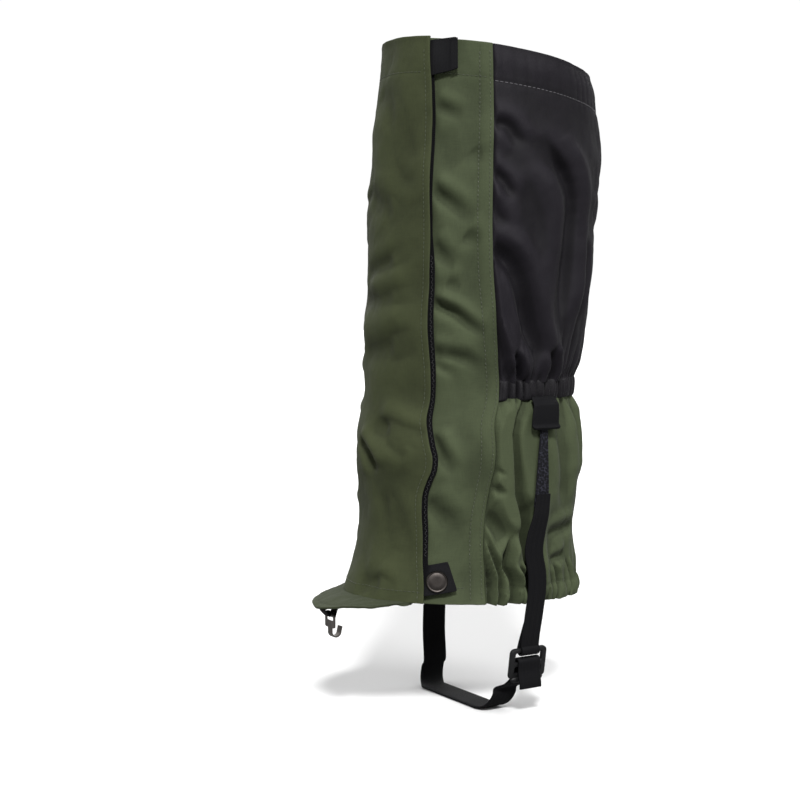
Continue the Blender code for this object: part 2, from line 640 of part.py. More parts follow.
def build_peak(group, green, black, metal):
    across, deep = 20, 6
    points, faces = [], []
    for row in range(deep + 1):
        for column in range(across + 1):
            theta = PEAK_START + PEAK_SWEEP * column / across
            points.append(peak_edge(theta, 1.0 - row / deep))
    for row in range(deep):
        for column in range(across):
            corner = row * (across + 1) + column
            faces.append((corner, corner + 1, corner + across + 2, corner + across + 1))
    made = mesh_object("peak", points, faces, group, green, outward=False)
    solid = made.modifiers.new("Thickness", "SOLIDIFY")
    solid.thickness = FABRIC
    solid.offset = -1.0

    # webbing eye under the peak's tip, seen from the side, with the lace hook hanging in it
    facing = Matrix(((0.0, 0.0, 1.0, 0.0), (1.0, 0.0, 0.0, 0.0), (0.0, 1.0, 0.0, 0.0), (0.0, 0.0, 0.0, 1.0)))
    side_plane = Matrix.Translation(LACE_BAR) @ facing
    hole = arc(LACE_EYE, 0.0, 337.5, 16)
    shape = arc(LACE_EYE + LACE_WALL, 135.0, 369.0, 12)
    front = peak_edge(0.0, 0.93) - LACE_BAR
    back = peak_edge(0.0, 0.50) - LACE_BAR
    tail = back.z - FABRIC - 0.0018
    shape += [(back.y, tail - 0.0012), (back.y, tail), (front.y, front.z - FABRIC - 0.0016)]
    outline_object("lace_tab", [shape, hole[::-1]], 0.0080, side_plane, group, black)

    upright = Matrix.Translation(LACE_BAR) @ Matrix.Rotation(math.radians(90.0), 4, "X")
    plate = outline_object("lace_hook", [rounded_box(0.0065, 0.0048, 0.0015, 3, (0.0, -0.0040)),
                                         rounded_box(0.0045, 0.0015, 0.0006, 2, (0.0, -0.0024))[::-1]],
                           0.0010, upright, group, metal)
    bend = [LACE_BAR + Vector((0.0, 0.0, -0.0082))]
    for across, along in arc(0.0035, 180.0, 360.0, 10):
        bend.append(LACE_BAR + Vector((0.0, 0.0035 + across, -0.0120 + along)))
    bend.append(LACE_BAR + Vector((0.0, 0.0078, -0.0085)))
    claw = ribbon("lace_hook_claw", [(point, 0.0050, (1, 0, 0)) for point in bend], 0.0010,
                  plate.users_collection[0], metal)
    return plate, claw


def join_claw(plate, claw, cutters):
    cut(plate, [claw], "UNION")
    move_to(hide_cutter(claw), cutters)


# ---------------------------------------------------------------- foot loop
def build_tab(name, side, group, black):
    """Two plies of webbing sewn under the ankle band, with the strap's end between them."""
    room = WEBBING / 2 + GAP + 0.0002
    face = room + TAB_PLY
    top = BAND_MIDDLE - BAND_HEIGHT / 2 - 2 * GAP
    fold, shoulder = top - 0.0035, top - 0.0008
    outline = [(-face, TAB_BOTTOM), (-room, TAB_BOTTOM), (-room, fold), (room, fold), (room, TAB_BOTTOM),
               (face, TAB_BOTTOM), (face, shoulder), (room, top), (-room, top), (-face, shoulder)]
    rings = []
    for index in range(5):
        along = PIVOT.y + TAB_WIDTH * (index / 4 - 0.5)
        rings.append([Vector((side * (STRAP_X + across), along, height)) for across, height in outline])
    loft(name, rings, group, black)


def outer_strap(group, black, elastic):
    y_axis = Vector((0.0, 1.0, 0.0))
    stations = [(Vector((STRAP_X, PIVOT.y, PIVOT.z + 0.0050)), 0.0072, y_axis),
                (Vector((STRAP_X, PIVOT.y, PIVOT.z)), 0.0072, y_axis),
                (Vector((STRAP_X, 0.0016, 0.1930)), 0.0074, y_axis),
                (Vector((STRAP_X, 0.0010, 0.1740)), 0.0094, y_axis),
                (Vector((STRAP_X, 0.0004, 0.1560)), 0.0114, y_axis),
                (Vector((STRAP_X, -0.0006, 0.1450)), 0.0124, y_axis)]
    ribbon("elastic_strap", stations, WEBBING, group, elastic)
    over = WEBBING + GAP + 0.0001           # the webbing laps over the elastic, on its outer face
    stations = [(Vector((STRAP_X + over, 0.0002, 0.1560)), 0.0120, y_axis),
                (Vector((STRAP_X + over, -0.0012, 0.1430)), 0.0132, y_axis),
                (Vector((STRAP_X + 0.0004, -0.0046, 0.1280)), 0.0152, y_axis),
                (Vector((0.0704, -0.0056, 0.1140)), STRAP_WIDTH, y_axis),
                (Vector((0.0694, -0.0022, 0.0990)), STRAP_WIDTH, y_axis),
                (Vector((0.0684, -0.0018, 0.0850)), STRAP_WIDTH, y_axis),
                (Vector((0.0672, -0.0034, 0.0680)), STRAP_WIDTH, y_axis),
                (Vector((0.0663, -0.0048, 0.0560)), STRAP_WIDTH, y_axis)]
    clearance = BAR_HALF * math.sqrt(2.0) + GAP + WEBBING / 2 + 0.0001
    for degrees in range(60, -181, -20):    # round the buckle's bar
        angle = math.radians(degrees)
        outward = Vector((math.cos(angle), 0.0, math.sin(angle)))
        stations.append((BUCKLE_BAR + outward * clearance, STRAP_WIDTH, y_axis))
    stations.append((BUCKLE_BAR + Vector((-clearance + 0.0001, 0.0, 0.0080)), STRAP_WIDTH, y_axis))
    ribbon("upper_strap", stations, WEBBING, group, black)


def buckle_frame():
    """Matrix of the buckle: X across the strap, Y up it, Z away from the boot."""
    lean = Matrix.Rotation(BUCKLE_TILT, 4, "Y")
    base = Matrix(((0.0, 0.0, 1.0, 0.0), (1.0, 0.0, 0.0, 0.0), (0.0, 1.0, 0.0, 0.0), (0.0, 0.0, 0.0, 1.0)))
    return Matrix.Translation(BUCKLE_BAR) @ lean @ base


def build_buckle(group, black, plastic):
    """Ladder-lock buckle: two side rails and three bars, with the strap's tail round the middle one."""
    place = buckle_frame()
    window = BUCKLE_HALF_WIDTH - BUCKLE_RAIL
    windows = [rounded_box(window, (top - bottom) / 2, 0.0010, 3, (0.0, (top + bottom) / 2))[::-1]
               for top, bottom in ((-BAR_HALF, MIDDLE_BAR[0]), (MIDDLE_BAR[1], LIP_BAR[0]))]
    frame = rounded_box(BUCKLE_HALF_WIDTH, (BAR_HALF - LIP_BAR[1]) / 2, 0.0030, 4,
                        (0.0, (BAR_HALF + LIP_BAR[1]) / 2))
    outline_object("ladder_buckle", [frame] + windows, 2 * BAR_HALF, place, group, plastic)
    y_axis = place.to_3x3() @ Vector((1.0, 0.0, 0.0))
    reach = BAR_HALF + GAP + WEBBING / 2 + 0.0001
    route = [(-0.0225, -reach), (-0.0165, -reach), (-0.0100, -reach)]
    for degrees in range(-90, 91, 30):      # up through the upper window and over the middle bar
        angle = math.radians(degrees)
        route.append((MIDDLE_BAR[0] + reach * math.cos(angle), reach * math.sin(angle)))
    route += [(-0.0140, reach), (-0.0190, reach + 0.0003), (-0.0240, reach + 0.0009)]
    ribbon("strap_tail", [(place @ Vector((0.0, along, out)), FOOT_WIDTH - 0.0012, y_axis)
                          for along, out in route], WEBBING, group, black)


def build_foot_strap(group, black):
    y_axis = Vector((0.0, 1.0, 0.0))
    level = FOOT_THICKNESS / 2
    start = buckle_frame() @ Vector((-0.0030, -0.0240, -0.0026))
    centre_x = ARCH_HALF + 0.0040
    stations = [(start, FOOT_WIDTH, y_axis)]
    low_start = Vector((centre_x + ARCH_TURN + 0.0010, start.y - 0.0060, ARCH_TURN + level))
    stations.append((start.lerp(low_start, 0.6), FOOT_WIDTH, y_axis))
    for degrees in range(0, 91, 15):
        angle = math.radians(degrees)
        share = degrees / 90.0
        stations.append((Vector((centre_x + ARCH_TURN * math.cos(angle),
                                 low_start.y + (ARCH_Y - low_start.y) * share,
                                 level + ARCH_TURN * (1.0 - math.sin(angle)))), FOOT_WIDTH, y_axis))
    for across in (ARCH_HALF, 0.0, -ARCH_HALF):
        stations.append((Vector((across, ARCH_Y, level)), FOOT_WIDTH, y_axis))
    for degrees in range(90, -1, -15):
        angle = math.radians(degrees)
        share = 1.0 - degrees / 90.0
        stations.append((Vector((-centre_x - ARCH_TURN * math.cos(angle), ARCH_Y + 0.0120 * share,
                                 level + ARCH_TURN * (1.0 - math.sin(angle)))), FOOT_WIDTH, y_axis))
    stations.append((Vector((-0.0560, -0.0050, 0.0360)), FOOT_WIDTH, y_axis))
    stations.append((Vector((-0.0600, -0.0020, 0.0560)), FOOT_WIDTH, y_axis))
    ribbon("foot_strap", stations, FOOT_THICKNESS, group, black)
    lap = FOOT_THICKNESS / 2 + WEBBING / 2 + GAP + 0.0001
    stations = [(Vector((-0.0570 - lap, -0.0035, 0.0400)), STRAP_WIDTH, y_axis),
                (Vector((-0.0602 - lap, -0.0020, 0.0560)), STRAP_WIDTH, y_axis),
                (Vector((-0.0660, 0.0000, 0.0800)), STRAP_WIDTH, y_axis),
                (Vector((-0.0700, 0.0010, 0.1100)), STRAP_WIDTH, y_axis),
                (Vector((-STRAP_X, 0.0015, 0.1400)), STRAP_WIDTH, y_axis),
                (Vector((-STRAP_X, 0.0015, 0.1900)), STRAP_WIDTH, y_axis),
                (Vector((-STRAP_X, PIVOT.y, PIVOT.z + 0.0050)), STRAP_WIDTH, y_axis)]
    ribbon("inner_strap", stations, WEBBING, group, black)


# ---------------------------------------------------------------- joints
def hang_on(name, place, pieces, group):
    """Empty on a joint's axis, with the pieces that move about it parented to it."""
    empty = bpy.data.objects.new(name, None)
    empty.empty_display_size = 0.01
    empty.location = place
    group.objects.link(empty)
    for piece in pieces:
        made = bpy.data.objects[piece]
        made.parent = empty
        made.matrix_parent_inverse = Matrix.Translation(place).inverted()
    return empty


def hang_empty(child, parent):
    child.parent = parent
    child.matrix_parent_inverse = Matrix.Translation(parent.location).inverted()


def build_pivots(group):
    """The moving pieces hang on their joints, and a joint on the piece that carries it."""
    edge, foot_edge = flap_edge(RIM_HEIGHT), flap_edge(SNAP_HEIGHT)
    front = hang_on("front_pivot", FLAP_HINGE_FOOT.lerp(FLAP_HINGE_HEAD, 0.5),
                    ("front_flap", "hook_tape", "peak", "lace_tab"), group)
    rim_tab = hang_on("rim_tab_pivot", wrap_point(edge + 0.8, rim(edge) - 0.014, 0.0036),
                      ("rim_tab", "rim_hook_pad"), group)
    snap_tab = hang_on("snap_tab_pivot", wrap_point(foot_edge + 0.5, 0.0967, 0.0042),
                       ("snap_tab", "snap_socket", "snap_cap"), group)
    lace = hang_on("lace_hook_pivot", LACE_BAR, ("lace_hook",), group)
    for child in (rim_tab, snap_tab, lace):
        hang_empty(child, front)
    middle = lock_frame().translation
    lock = hang_on("cord_lock_slide", middle, ("cord_lock_barrel", "cord_lock_spring"), group)
    button = hang_on("button_slide", middle, ("cord_lock_button",), group)
    hang_empty(button, lock)
    foot_loop = hang_on("foot_loop_pivot", Vector((0.0, PIVOT.y, PIVOT.z)),
                        ("elastic_strap", "upper_strap", "foot_strap", "inner_strap"), group)
    buckle = hang_on("buckle_pivot", BUCKLE_BAR, ("ladder_buckle", "strap_tail"), group)
    hang_empty(buckle, foot_loop)


def main():
    clear_scene()
    group = new_collection("gaiter")
    cutters = new_collection("cutters")
    green = material("green_fabric", (0.082, 0.100, 0.058), 0.75)
    black = material("black_fabric", (0.020, 0.019, 0.022), 0.80)
    webbing = material("black_webbing", (0.014, 0.014, 0.016), 0.60)
    elastic = material("elastic", (0.028, 0.028, 0.032), 0.85)
    tape = material("hook_and_loop", (0.012, 0.012, 0.014), 0.95)
    cord = material("cord", (0.015, 0.015, 0.016), 0.70)
    plastic = material("black_plastic", (0.012, 0.012, 0.013), 0.40)
    metal = material("dark_metal", (0.080, 0.070, 0.065), 0.35, 1.0)

    build_panels(group, green, black)
    build_bands(group, green, black, elastic)
    build_rim_hem(group, cutters, black, cord, metal)
    build_cord_lock(group, cutters, cord, plastic, metal)
    build_closure(group, tape, metal)
    plate, claw = build_peak(group, green, webbing, metal)
    join_claw(plate, claw, cutters)
    build_tab("outer_tab", 1.0, group, webbing)
    build_tab("inner_tab", -1.0, group, webbing)
    outer_strap(group, webbing, elastic)
    build_buckle(group, webbing, plastic)
    build_foot_strap(group, webbing)
    build_pivots(group)


main()
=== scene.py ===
"""Looks of the hiking gaiter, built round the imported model. Metres, +Z up, toe to -Y, outer side +X."""
import math
from functools import partial

import bmesh
import bpy
import numpy as np
from mathutils import Matrix, Vector


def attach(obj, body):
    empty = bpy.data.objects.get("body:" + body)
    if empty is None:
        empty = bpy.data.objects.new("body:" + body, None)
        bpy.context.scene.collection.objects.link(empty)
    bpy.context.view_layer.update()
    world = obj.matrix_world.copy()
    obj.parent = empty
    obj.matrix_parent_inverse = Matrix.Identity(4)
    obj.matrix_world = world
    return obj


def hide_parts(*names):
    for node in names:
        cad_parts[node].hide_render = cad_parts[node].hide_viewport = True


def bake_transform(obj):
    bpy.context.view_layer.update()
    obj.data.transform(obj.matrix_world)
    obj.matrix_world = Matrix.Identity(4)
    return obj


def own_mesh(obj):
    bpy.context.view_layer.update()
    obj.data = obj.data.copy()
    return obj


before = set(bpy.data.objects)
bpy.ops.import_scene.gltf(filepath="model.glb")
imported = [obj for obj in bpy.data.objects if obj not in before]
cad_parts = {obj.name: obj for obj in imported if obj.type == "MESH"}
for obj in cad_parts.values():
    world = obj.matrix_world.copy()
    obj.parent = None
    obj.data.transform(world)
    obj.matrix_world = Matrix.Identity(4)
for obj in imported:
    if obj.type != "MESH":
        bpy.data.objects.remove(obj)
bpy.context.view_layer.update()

# ---------------------------------------------------------------- the wrap, as part.py has it
SECTIONS = (
    (0.078, 0.0640, 0.0915, -0.0167),
    (0.115, 0.0602, 0.0815, -0.0135),
    (0.150, 0.0644, 0.0817, -0.0112),
    (0.180, 0.0680, 0.0830, -0.0125),
    (0.225, 0.0640, 0.0745, -0.0115),
    (0.265, 0.0695, 0.0803, -0.0068),
    (0.320, 0.0730, 0.0840, -0.0015),
    (0.380, 0.0736, 0.0847, 0.0030),
    (0.460, 0.0653, 0.0751, 0.0019),
)
HINGE_FOOT = np.array((-0.0555, -0.0610, 0.080))
HINGE_HEAD = np.array((-0.0600, -0.0360, 0.460))
FLAP_EDGE = ((0.080, 41.0), (0.220, 38.0), (0.320, 34.0), (0.460, 29.0))
FLAP_STAND = 0.0036
BAND_MIDDLE, BAND_HEIGHT = 0.2252, 0.0135
HEM_BAND = 0.0120
RIM_HEM = 0.0280
CORD_STATION, CORD_RADIUS = 184.0, 0.0013
EYELET_HALF_ANGLE, EYELET_DROP = 3.5, 0.0120
LOCK_HEIGHT, LOCK_STAND, STRAND_HALF = 0.4080, 0.0092, 0.0017
CORD_BEND, LOOP_CENTRE = 0.0058, -0.0500
STRAP_X = 0.0712
BUCKLE_BAR = Vector((0.0640, -0.0053, 0.0450))
BUCKLE_TILT = math.radians(9.0)
LACE_BAR = Vector((0.0, -0.1268, 0.0715))
SNAP_THETA, SNAP_HEIGHT = 49.9, 0.0958

# ---------------------------------------------------------------- where the cloth really runs
EDGE = (
    (0.080, 45.4), (0.0893, 44.6), (0.0985, 43.0), (0.1085, 41.1), (0.1281, 39.1), (0.1466, 37.6),
    (0.156, 37.9), (0.1648, 40.2), (0.172, 42.6), (0.1808, 43.2), (0.190, 41.2), (0.2066, 38.2),
    (0.2214, 38.6), (0.2384, 38.0), (0.2519, 36.7), (0.2701, 35.2), (0.299, 34.4), (0.3272, 34.0),
    (0.354, 32.6), (0.3907, 31.5), (0.4277, 30.7), (0.4606, 28.6),
)
SEAM = (
    (0.080, 74.2), (0.100, 72.6), (0.120, 70.4), (0.1396, 69.4), (0.1589, 71.2), (0.1728, 73.4), (0.1844, 73.6),
    (0.2058, 73.0), (0.219, 75.2), (0.2294, 75.2), (0.2465, 72.6), (0.2668, 69.4), (0.287, 66.8),
    (0.307, 64.4), (0.3271, 62.9), (0.3537, 61.6), (0.3869, 61.0), (0.4203, 61.4), (0.460, 61.4),
)
ARC = 0.0725                                # mean radius, for lengths along the cloth
DEGREES = 57.3                              # in a radian, for azimuths from lengths along the cloth
PANEL_RIM_LINE, CALF_RIM_LINE = 0.0235, 0.0250     # sewn lines under the rim
EDGE_LINE, SEAM_LINE = 0.0040, 0.0080       # sewn lines beside the flap's edge and the seam

# creases: depth, width, skew towards one side, then (azimuth, height) along the fold
SIDE_CREASES = (
    (0.0013, 0.0045, 0.3, (34.9, 0.4147), (41.9, 0.4111), (48.5, 0.4056)),
    (0.0022, 0.0048, 0.3, (33.8, 0.3586), (41.8, 0.3511), (49.6, 0.3410), (53.2, 0.3350)),
    (0.0016, 0.0050, 0.3, (36.9, 0.3185), (41.9, 0.3124), (48.2, 0.3050)),
    (0.0011, 0.0055, 0.3, (49.2, 0.3297), (55.1, 0.3264), (60.6, 0.3224)),
    (0.0024, 0.0036, 0.3, (38.2, 0.2836), (47.7, 0.2776), (56.3, 0.2689), (68.1, 0.2601)),
    (0.0016, 0.0044, 0.3, (40.0, 0.2506), (55.7, 0.2460), (68.8, 0.2350)),
    (0.0012, 0.0040, 0.3, (42.7, 0.2412), (48.4, 0.2371), (52.9, 0.2324)),
    (0.0008, 0.0050, 0.3, (42.1, 0.2977), (51.2, 0.2943)),
    (0.0024, 0.0046, 0.3, (45.7, 0.1848), (51.8, 0.1726), (55.5, 0.1657)),
    (0.0015, 0.0060, 0.3, (43.5, 0.1454), (50.0, 0.1366), (57.3, 0.1268)),
    (0.0008, 0.0060, 0.3, (50.6, 0.3869), (55.3, 0.3816), (59.1, 0.3783)),
)
FLAP_CREASES = (
    (0.0013, 0.0060, 0.0, (-15.0, 0.3027), (8.2, 0.3114), (23.5, 0.3206)),
    (0.0011, 0.0070, 0.0, (-23.9, 0.2852), (11.0, 0.2882), (31.3, 0.2937)),
    (0.0017, 0.0090, 0.0, (-14.4, 0.2489), (14.1, 0.2555), (32.7, 0.2613)),
    (0.0022, 0.0062, 0.0, (4.2, 0.2028), (22.5, 0.1972), (39.8, 0.1913)),
    (0.0024, 0.0042, 0.0, (-9.5, 0.1919), (2.9, 0.1808), (9.7, 0.1676)),
    (0.0010, 0.0046, 0.0, (16.4, 0.1928), (25.8, 0.1841), (31.5, 0.1796)),
    (0.0014, 0.0080, 0.0, (1.5, 0.0925), (19.8, 0.0910), (32.5, 0.0908)),
    (0.0007, 0.0075, 0.0, (8.7, 0.4106), (16.8, 0.3829), (20.9, 0.3557)),
    (0.0009, 0.0080, 0.0, (12.0, 0.1566), (22.7, 0.1367), (28.4, 0.1130)),
    (0.0008, 0.0045, 0.0, (13.1, 0.0981), (20.7, 0.0924), (22.0, 0.0854)),
    (0.0011, 0.0080, 0.0, (-11.2, 0.3562), (7.1, 0.3510), (16.8, 0.3397)),
    (0.0010, 0.0090, 0.0, (-10.0, 0.4307), (6.4, 0.4163), (12.7, 0.4007)),
    (0.0016, 0.0070, 0.0, (-48.0, 0.2420), (-34.0, 0.2310), (-20.0, 0.2260)),
    (0.0018, 0.0060, 0.0, (-50.0, 0.2080), (-38.0, 0.1990), (-24.0, 0.2010)),
    (0.0014, 0.0080, 0.0, (-50.0, 0.3300), (-38.0, 0.3180), (-26.0, 0.3140)),
    (0.0012, 0.0080, 0.0, (-50.0, 0.3900), (-36.0, 0.3780), (-18.0, 0.3800)),
    (0.0018, 0.0060, 0.0, (-49.0, 0.1500), (-38.0, 0.1380), (-22.0, 0.1350)),
)
CALF_CREASES = (
    (0.0034, 0.0062, 0.35, (62.4, 0.3231), (69.2, 0.3151), (75.0, 0.3037), (80.0, 0.2869), (86.1, 0.2666),
     (92.8, 0.2487), (97.7, 0.2320)),
    (0.0030, 0.0066, -0.55, (86.3, 0.4000), (91.0, 0.3882), (98.2, 0.3779), (103.4, 0.3654), (106.7, 0.3499),
     (107.6, 0.3314), (108.5, 0.3129), (108.4, 0.2923), (107.3, 0.2716), (107.1, 0.2551)),
    (0.0022, 0.0030, 0.0, (101.2, 0.2552), (106.6, 0.2399), (109.5, 0.2260)),
    (0.0013, 0.0044, 0.0, (60.6, 0.4049), (67.4, 0.4037), (71.5, 0.3972), (76.0, 0.3880)),
    (0.0013, 0.0038, 0.0, (59.6, 0.3736), (65.4, 0.3677), (69.1, 0.3605), (71.9, 0.3519)),
    (0.0008, 0.0040, 0.0, (60.5, 0.3497), (66.2, 0.3411), (69.0, 0.3325)),
    (0.0008, 0.0070, 0.0, (74.5, 0.3740), (80.3, 0.3541), (85.9, 0.3308), (89.7, 0.3072)),
    (0.0010, 0.0040, 0.0, (71.0, 0.2903), (75.3, 0.2701), (80.7, 0.2531)),
    (0.0014, 0.0050, 0.0, (123.3, 0.3321), (125.0, 0.3133), (124.3, 0.2902), (124.5, 0.2691)),
    (0.0016, 0.0025, 0.0, (72.1, 0.2567), (75.8, 0.2451), (82.0, 0.2267)),
    (0.0018, 0.0022, 0.0, (79.6, 0.2531), (83.6, 0.2422), (88.5, 0.2261)),
)
HEEL_CREASES = (
    (0.0052, 0.0038, 0.6, (93.3, 0.2241), (86.7, 0.2106), (83.9, 0.1973), (84.4, 0.1838), (85.3, 0.1671),
     (86.1, 0.1515), (88.9, 0.1358), (92.1, 0.1178), (95.7, 0.1000), (96.7, 0.0736)),
    (0.0050, 0.0050, 0.0, (92.2, 0.1545), (93.5, 0.1296), (95.6, 0.1069), (98.1, 0.0761)),
    (0.0017, 0.0024, 0.0, (70.6, 0.1733), (75.2, 0.1713), (80.8, 0.1665)),
    (0.0017, 0.0027, 0.0, (68.9, 0.1616), (73.5, 0.1595), (79.2, 0.1540)),
    (0.0026, 0.0062, 0.0, (66.5, 0.1434), (76.4, 0.1328), (88.5, 0.1202)),
    (0.0042, 0.0021, 0.3, (84.6, 0.1269), (81.4, 0.1080), (84.0, 0.0996), (86.3, 0.0919), (86.7, 0.0702)),
    (0.0027, 0.0016, 0.0, (73.3, 0.1188), (78.4, 0.1035), (80.4, 0.0946), (80.0, 0.0708)),
    (0.0031, 0.0014, 0.0, (72.6, 0.1080), (75.7, 0.0945), (76.6, 0.0705)),
    (0.0030, 0.0014, 0.0, (86.9, 0.1078), (91.4, 0.0945), (91.5, 0.0702)),
    (0.0033, 0.0016, 0.0, (88.7, 0.1222), (93.7, 0.1072), (96.9, 0.0958), (97.4, 0.0709)),
    (0.0017, 0.0042, 0.0, (108.1, 0.1206), (115.2, 0.1250), (133.9, 0.1274)),
    (0.0014, 0.0030, 0.0, (110.6, 0.1049), (117.0, 0.1055), (125.4, 0.1076)),
    (0.0022, 0.0056, 0.0, (124.1, 0.2176), (116.7, 0.1946), (117.8, 0.1692), (119.3, 0.1383)),
    (0.0022, 0.0016, 0.0, (113.6, 0.1046), (116.5, 0.0894), (115.2, 0.0708)),
    (0.0020, 0.0014, 0.0, (127.0, 0.1039), (129.0, 0.0882), (125.6, 0.0705)),
    (0.0014, 0.0026, 0.4, (76.0, 0.2208), (73.4, 0.1991), (73.8, 0.1844), (73.1, 0.1691)),
    (0.0010, 0.0040, 0.0, (79.2, 0.2197), (78.3, 0.1922), (77.8, 0.1688)),
    (0.0022, 0.0055, 0.3, (136.0, 0.2190), (138.0, 0.1900), (137.0, 0.1600)),
)


# ---------------------------------------------------------------- curves and noise
def smoothstep(value, start, end):
    """0 before start and 1 after end; with start past end it falls from 1 to 0 instead."""
    ratio = np.clip((np.asarray(value, float) - start) / (end - start), 0.0, 1.0)
    return ratio * ratio * (3.0 - 2.0 * ratio)


def bell(distance, width, power=2):
    """1 on a line, dying off on both sides of it."""
    return np.exp(-(distance / width) ** power)


def grid(theta, height):
    return np.broadcast_arrays(np.asarray(theta, float), np.asarray(height, float))


def unit(vectors):
    return vectors / np.linalg.norm(vectors, axis=-1, keepdims=True)


def lengths_along(points):
    """Length from the first point of a path to each of its points."""
    return np.concatenate([[0.0], np.cumsum(np.linalg.norm(np.diff(points, axis=0), axis=1))])


def read(stations, position, column=1):
    """Cubic through the stations, with slopes from their neighbours."""
    xs = np.array([row[0] for row in stations])
    ys = np.array([row[column] for row in stations])
    slopes = np.gradient(ys, xs)
    at = np.clip(np.asarray(position, float), xs[0], xs[-1])
    cell = np.clip(np.searchsorted(xs, at) - 1, 0, len(xs) - 2)
    span = xs[cell + 1] - xs[cell]
    t = (at - xs[cell]) / span
    return ((2 * t ** 3 - 3 * t ** 2 + 1) * ys[cell] + (t ** 3 - 2 * t ** 2 + t) * span * slopes[cell]
            + (3 * t ** 2 - 2 * t ** 3) * ys[cell + 1] + (t ** 3 - t ** 2) * span * slopes[cell + 1])


def hinge_line(height):
    share = (np.asarray(height, float) - HINGE_FOOT[2]) / (HINGE_HEAD[2] - HINGE_FOOT[2])
    return [HINGE_FOOT[axis] + (HINGE_HEAD[axis] - HINGE_FOOT[axis]) * share for axis in (0, 1)]


def inner_seam(height):
    depth, centre = read(SECTIONS, height, 2), read(SECTIONS, height, 3)
    return -np.degrees(np.arccos((centre - hinge_line(height)[1]) / depth))


flap_edge, cloth_edge, seam = [partial(read, stations) for stations in (FLAP_EDGE, EDGE, SEAM)]


def rim(theta):
    return 0.4535 + 0.0108 * np.cos(np.radians(theta))


def hem(theta):
    return 0.0785 + 0.0045 * np.cos(np.radians(theta))


def front_hem(theta):
    theta = np.asarray(theta, float)
    return hem(theta) + 0.0015 * bell(theta + 30.0, 26.0) + 0.0006


def wrap(theta, height):
    """Points of the wrap's smooth surface and its level outward directions."""
    theta, height = grid(theta, height)
    angle = np.radians(theta)
    width, depth, centre = [read(SECTIONS, height, column) for column in (1, 2, 3)]
    inner = hinge_line(height)[0] / np.sin(np.radians(inner_seam(height)))
    width = np.where(np.sin(angle) < 0.0, inner, width)
    normal = unit(np.stack([np.sin(angle) / width, -np.cos(angle) / depth, np.zeros_like(width)], -1))
    point = np.stack([width * np.sin(angle), centre - depth * np.cos(angle), height], -1)
    return point, normal


LATTICE = np.random.default_rng(4207).uniform(-1.0, 1.0, (128, 128))


def noise(u, v, shift=0.0):
    """Smooth value noise of unit cell, from -1 to 1."""
    u = np.asarray(u, float) + 17.3 * shift + 5.0
    v = np.asarray(v, float) + 9.7 * shift + 11.0
    column, row = np.floor(u).astype(int), np.floor(v).astype(int)
    fu, fv = u - column, v - row
    fu, fv = fu ** 3 * (fu * (6 * fu - 15) + 10), fv ** 3 * (fv * (6 * fv - 15) + 10)

    def at(down, across):
        return LATTICE[(row + down) % 128, (column + across) % 128]

    return (at(0, 0) * (1 - fu) + at(0, 1) * fu) * (1 - fv) + (at(1, 0) * (1 - fu) + at(1, 1) * fu) * fv


def along_cloth(theta):
    return np.radians(theta) * ARC


def smooth_path(points, count):
    """Catmull-Rom curve through the points, at evenly spaced lengths."""
    knots = np.array([tuple(point) for point in points], float)
    knots = np.vstack([2 * knots[0] - knots[1], knots, 2 * knots[-1] - knots[-2]])
    dense = []
    for index in range(1, len(knots) - 2):
        before, start, end, after = knots[index - 1:index + 3]
        for t in np.linspace(0.0, 1.0, 24, endpoint=False):
            dense.append(0.5 * (2 * start + (end - before) * t
                                + (2 * before - 5 * start + 4 * end - after) * t ** 2
                                + (3 * start - before - 3 * end + after) * t ** 3))
    dense = np.array(dense + [knots[-2]])
    length = lengths_along(dense)
    even = np.linspace(0.0, length[-1], count)
    return np.stack([np.interp(even, length, dense[:, axis]) for axis in range(dense.shape[1])], -1)


def crease(theta, height, depth, width, skew, path, tail=0.30):
    """Valley with a soft ridge on each side of it, fading out at both ends. Skewed, it is steep on one side."""
    line = smooth_path([(along_cloth(azimuth), level) for azimuth, level in path], 16)
    here = np.stack([along_cloth(theta), np.broadcast_to(height, np.shape(theta))], -1)
    best = np.full(here.shape[:-1], 1e9)
    side = np.zeros_like(best)
    share = np.zeros_like(best)
    for index in range(len(line) - 1):
        start, step = line[index], line[index + 1] - line[index]
        t = np.clip(((here - start) @ step) / (step @ step), 0.0, 1.0)
        away = here - start - t[..., None] * step
        distance = np.linalg.norm(away, axis=-1)
        nearer = distance < best
        best = np.where(nearer, distance, best)
        side = np.where(nearer, np.sign(step[0] * away[..., 1] - step[1] * away[..., 0]), side)
        share = np.where(nearer, (index + t) / (len(line) - 1), share)
    fade = smoothstep(share, -0.02, 0.22) * smoothstep(1.0 - share, -0.02, tail)
    signed = best * side
    valley = bell(signed, width * np.where(signed > 0.0, 1.0 + skew, 1.0 - skew))
    above = bell(signed - 1.9 * width, 1.25 * width)
    below = bell(signed + 2.1 * width, 1.5 * width)
    return depth * fade * (0.60 * above + 0.40 * below - valley)


BENEATH, SPRINGING = 6.0, 6.5               # degrees: how far creases run on beneath an edge, and from where


def creases(theta, height, rows, gain=1.0, from_edge=None, tail=0.30):
    """All the creases of a panel. Those that spring from its edge run on a little beneath it."""
    total = np.zeros(np.broadcast(theta, height).shape)
    for depth, width, skew, *path in rows:
        (first, level), (second, next_level) = path[:2]
        if from_edge and first < from_edge(level) + SPRINGING:
            step = BENEATH / max(second - first, 1.0)
            path = [(first - BENEATH, level - (next_level - level) * step)] + path
        total = total + crease(theta, height, gain * depth, width, skew, path, tail)
    return total


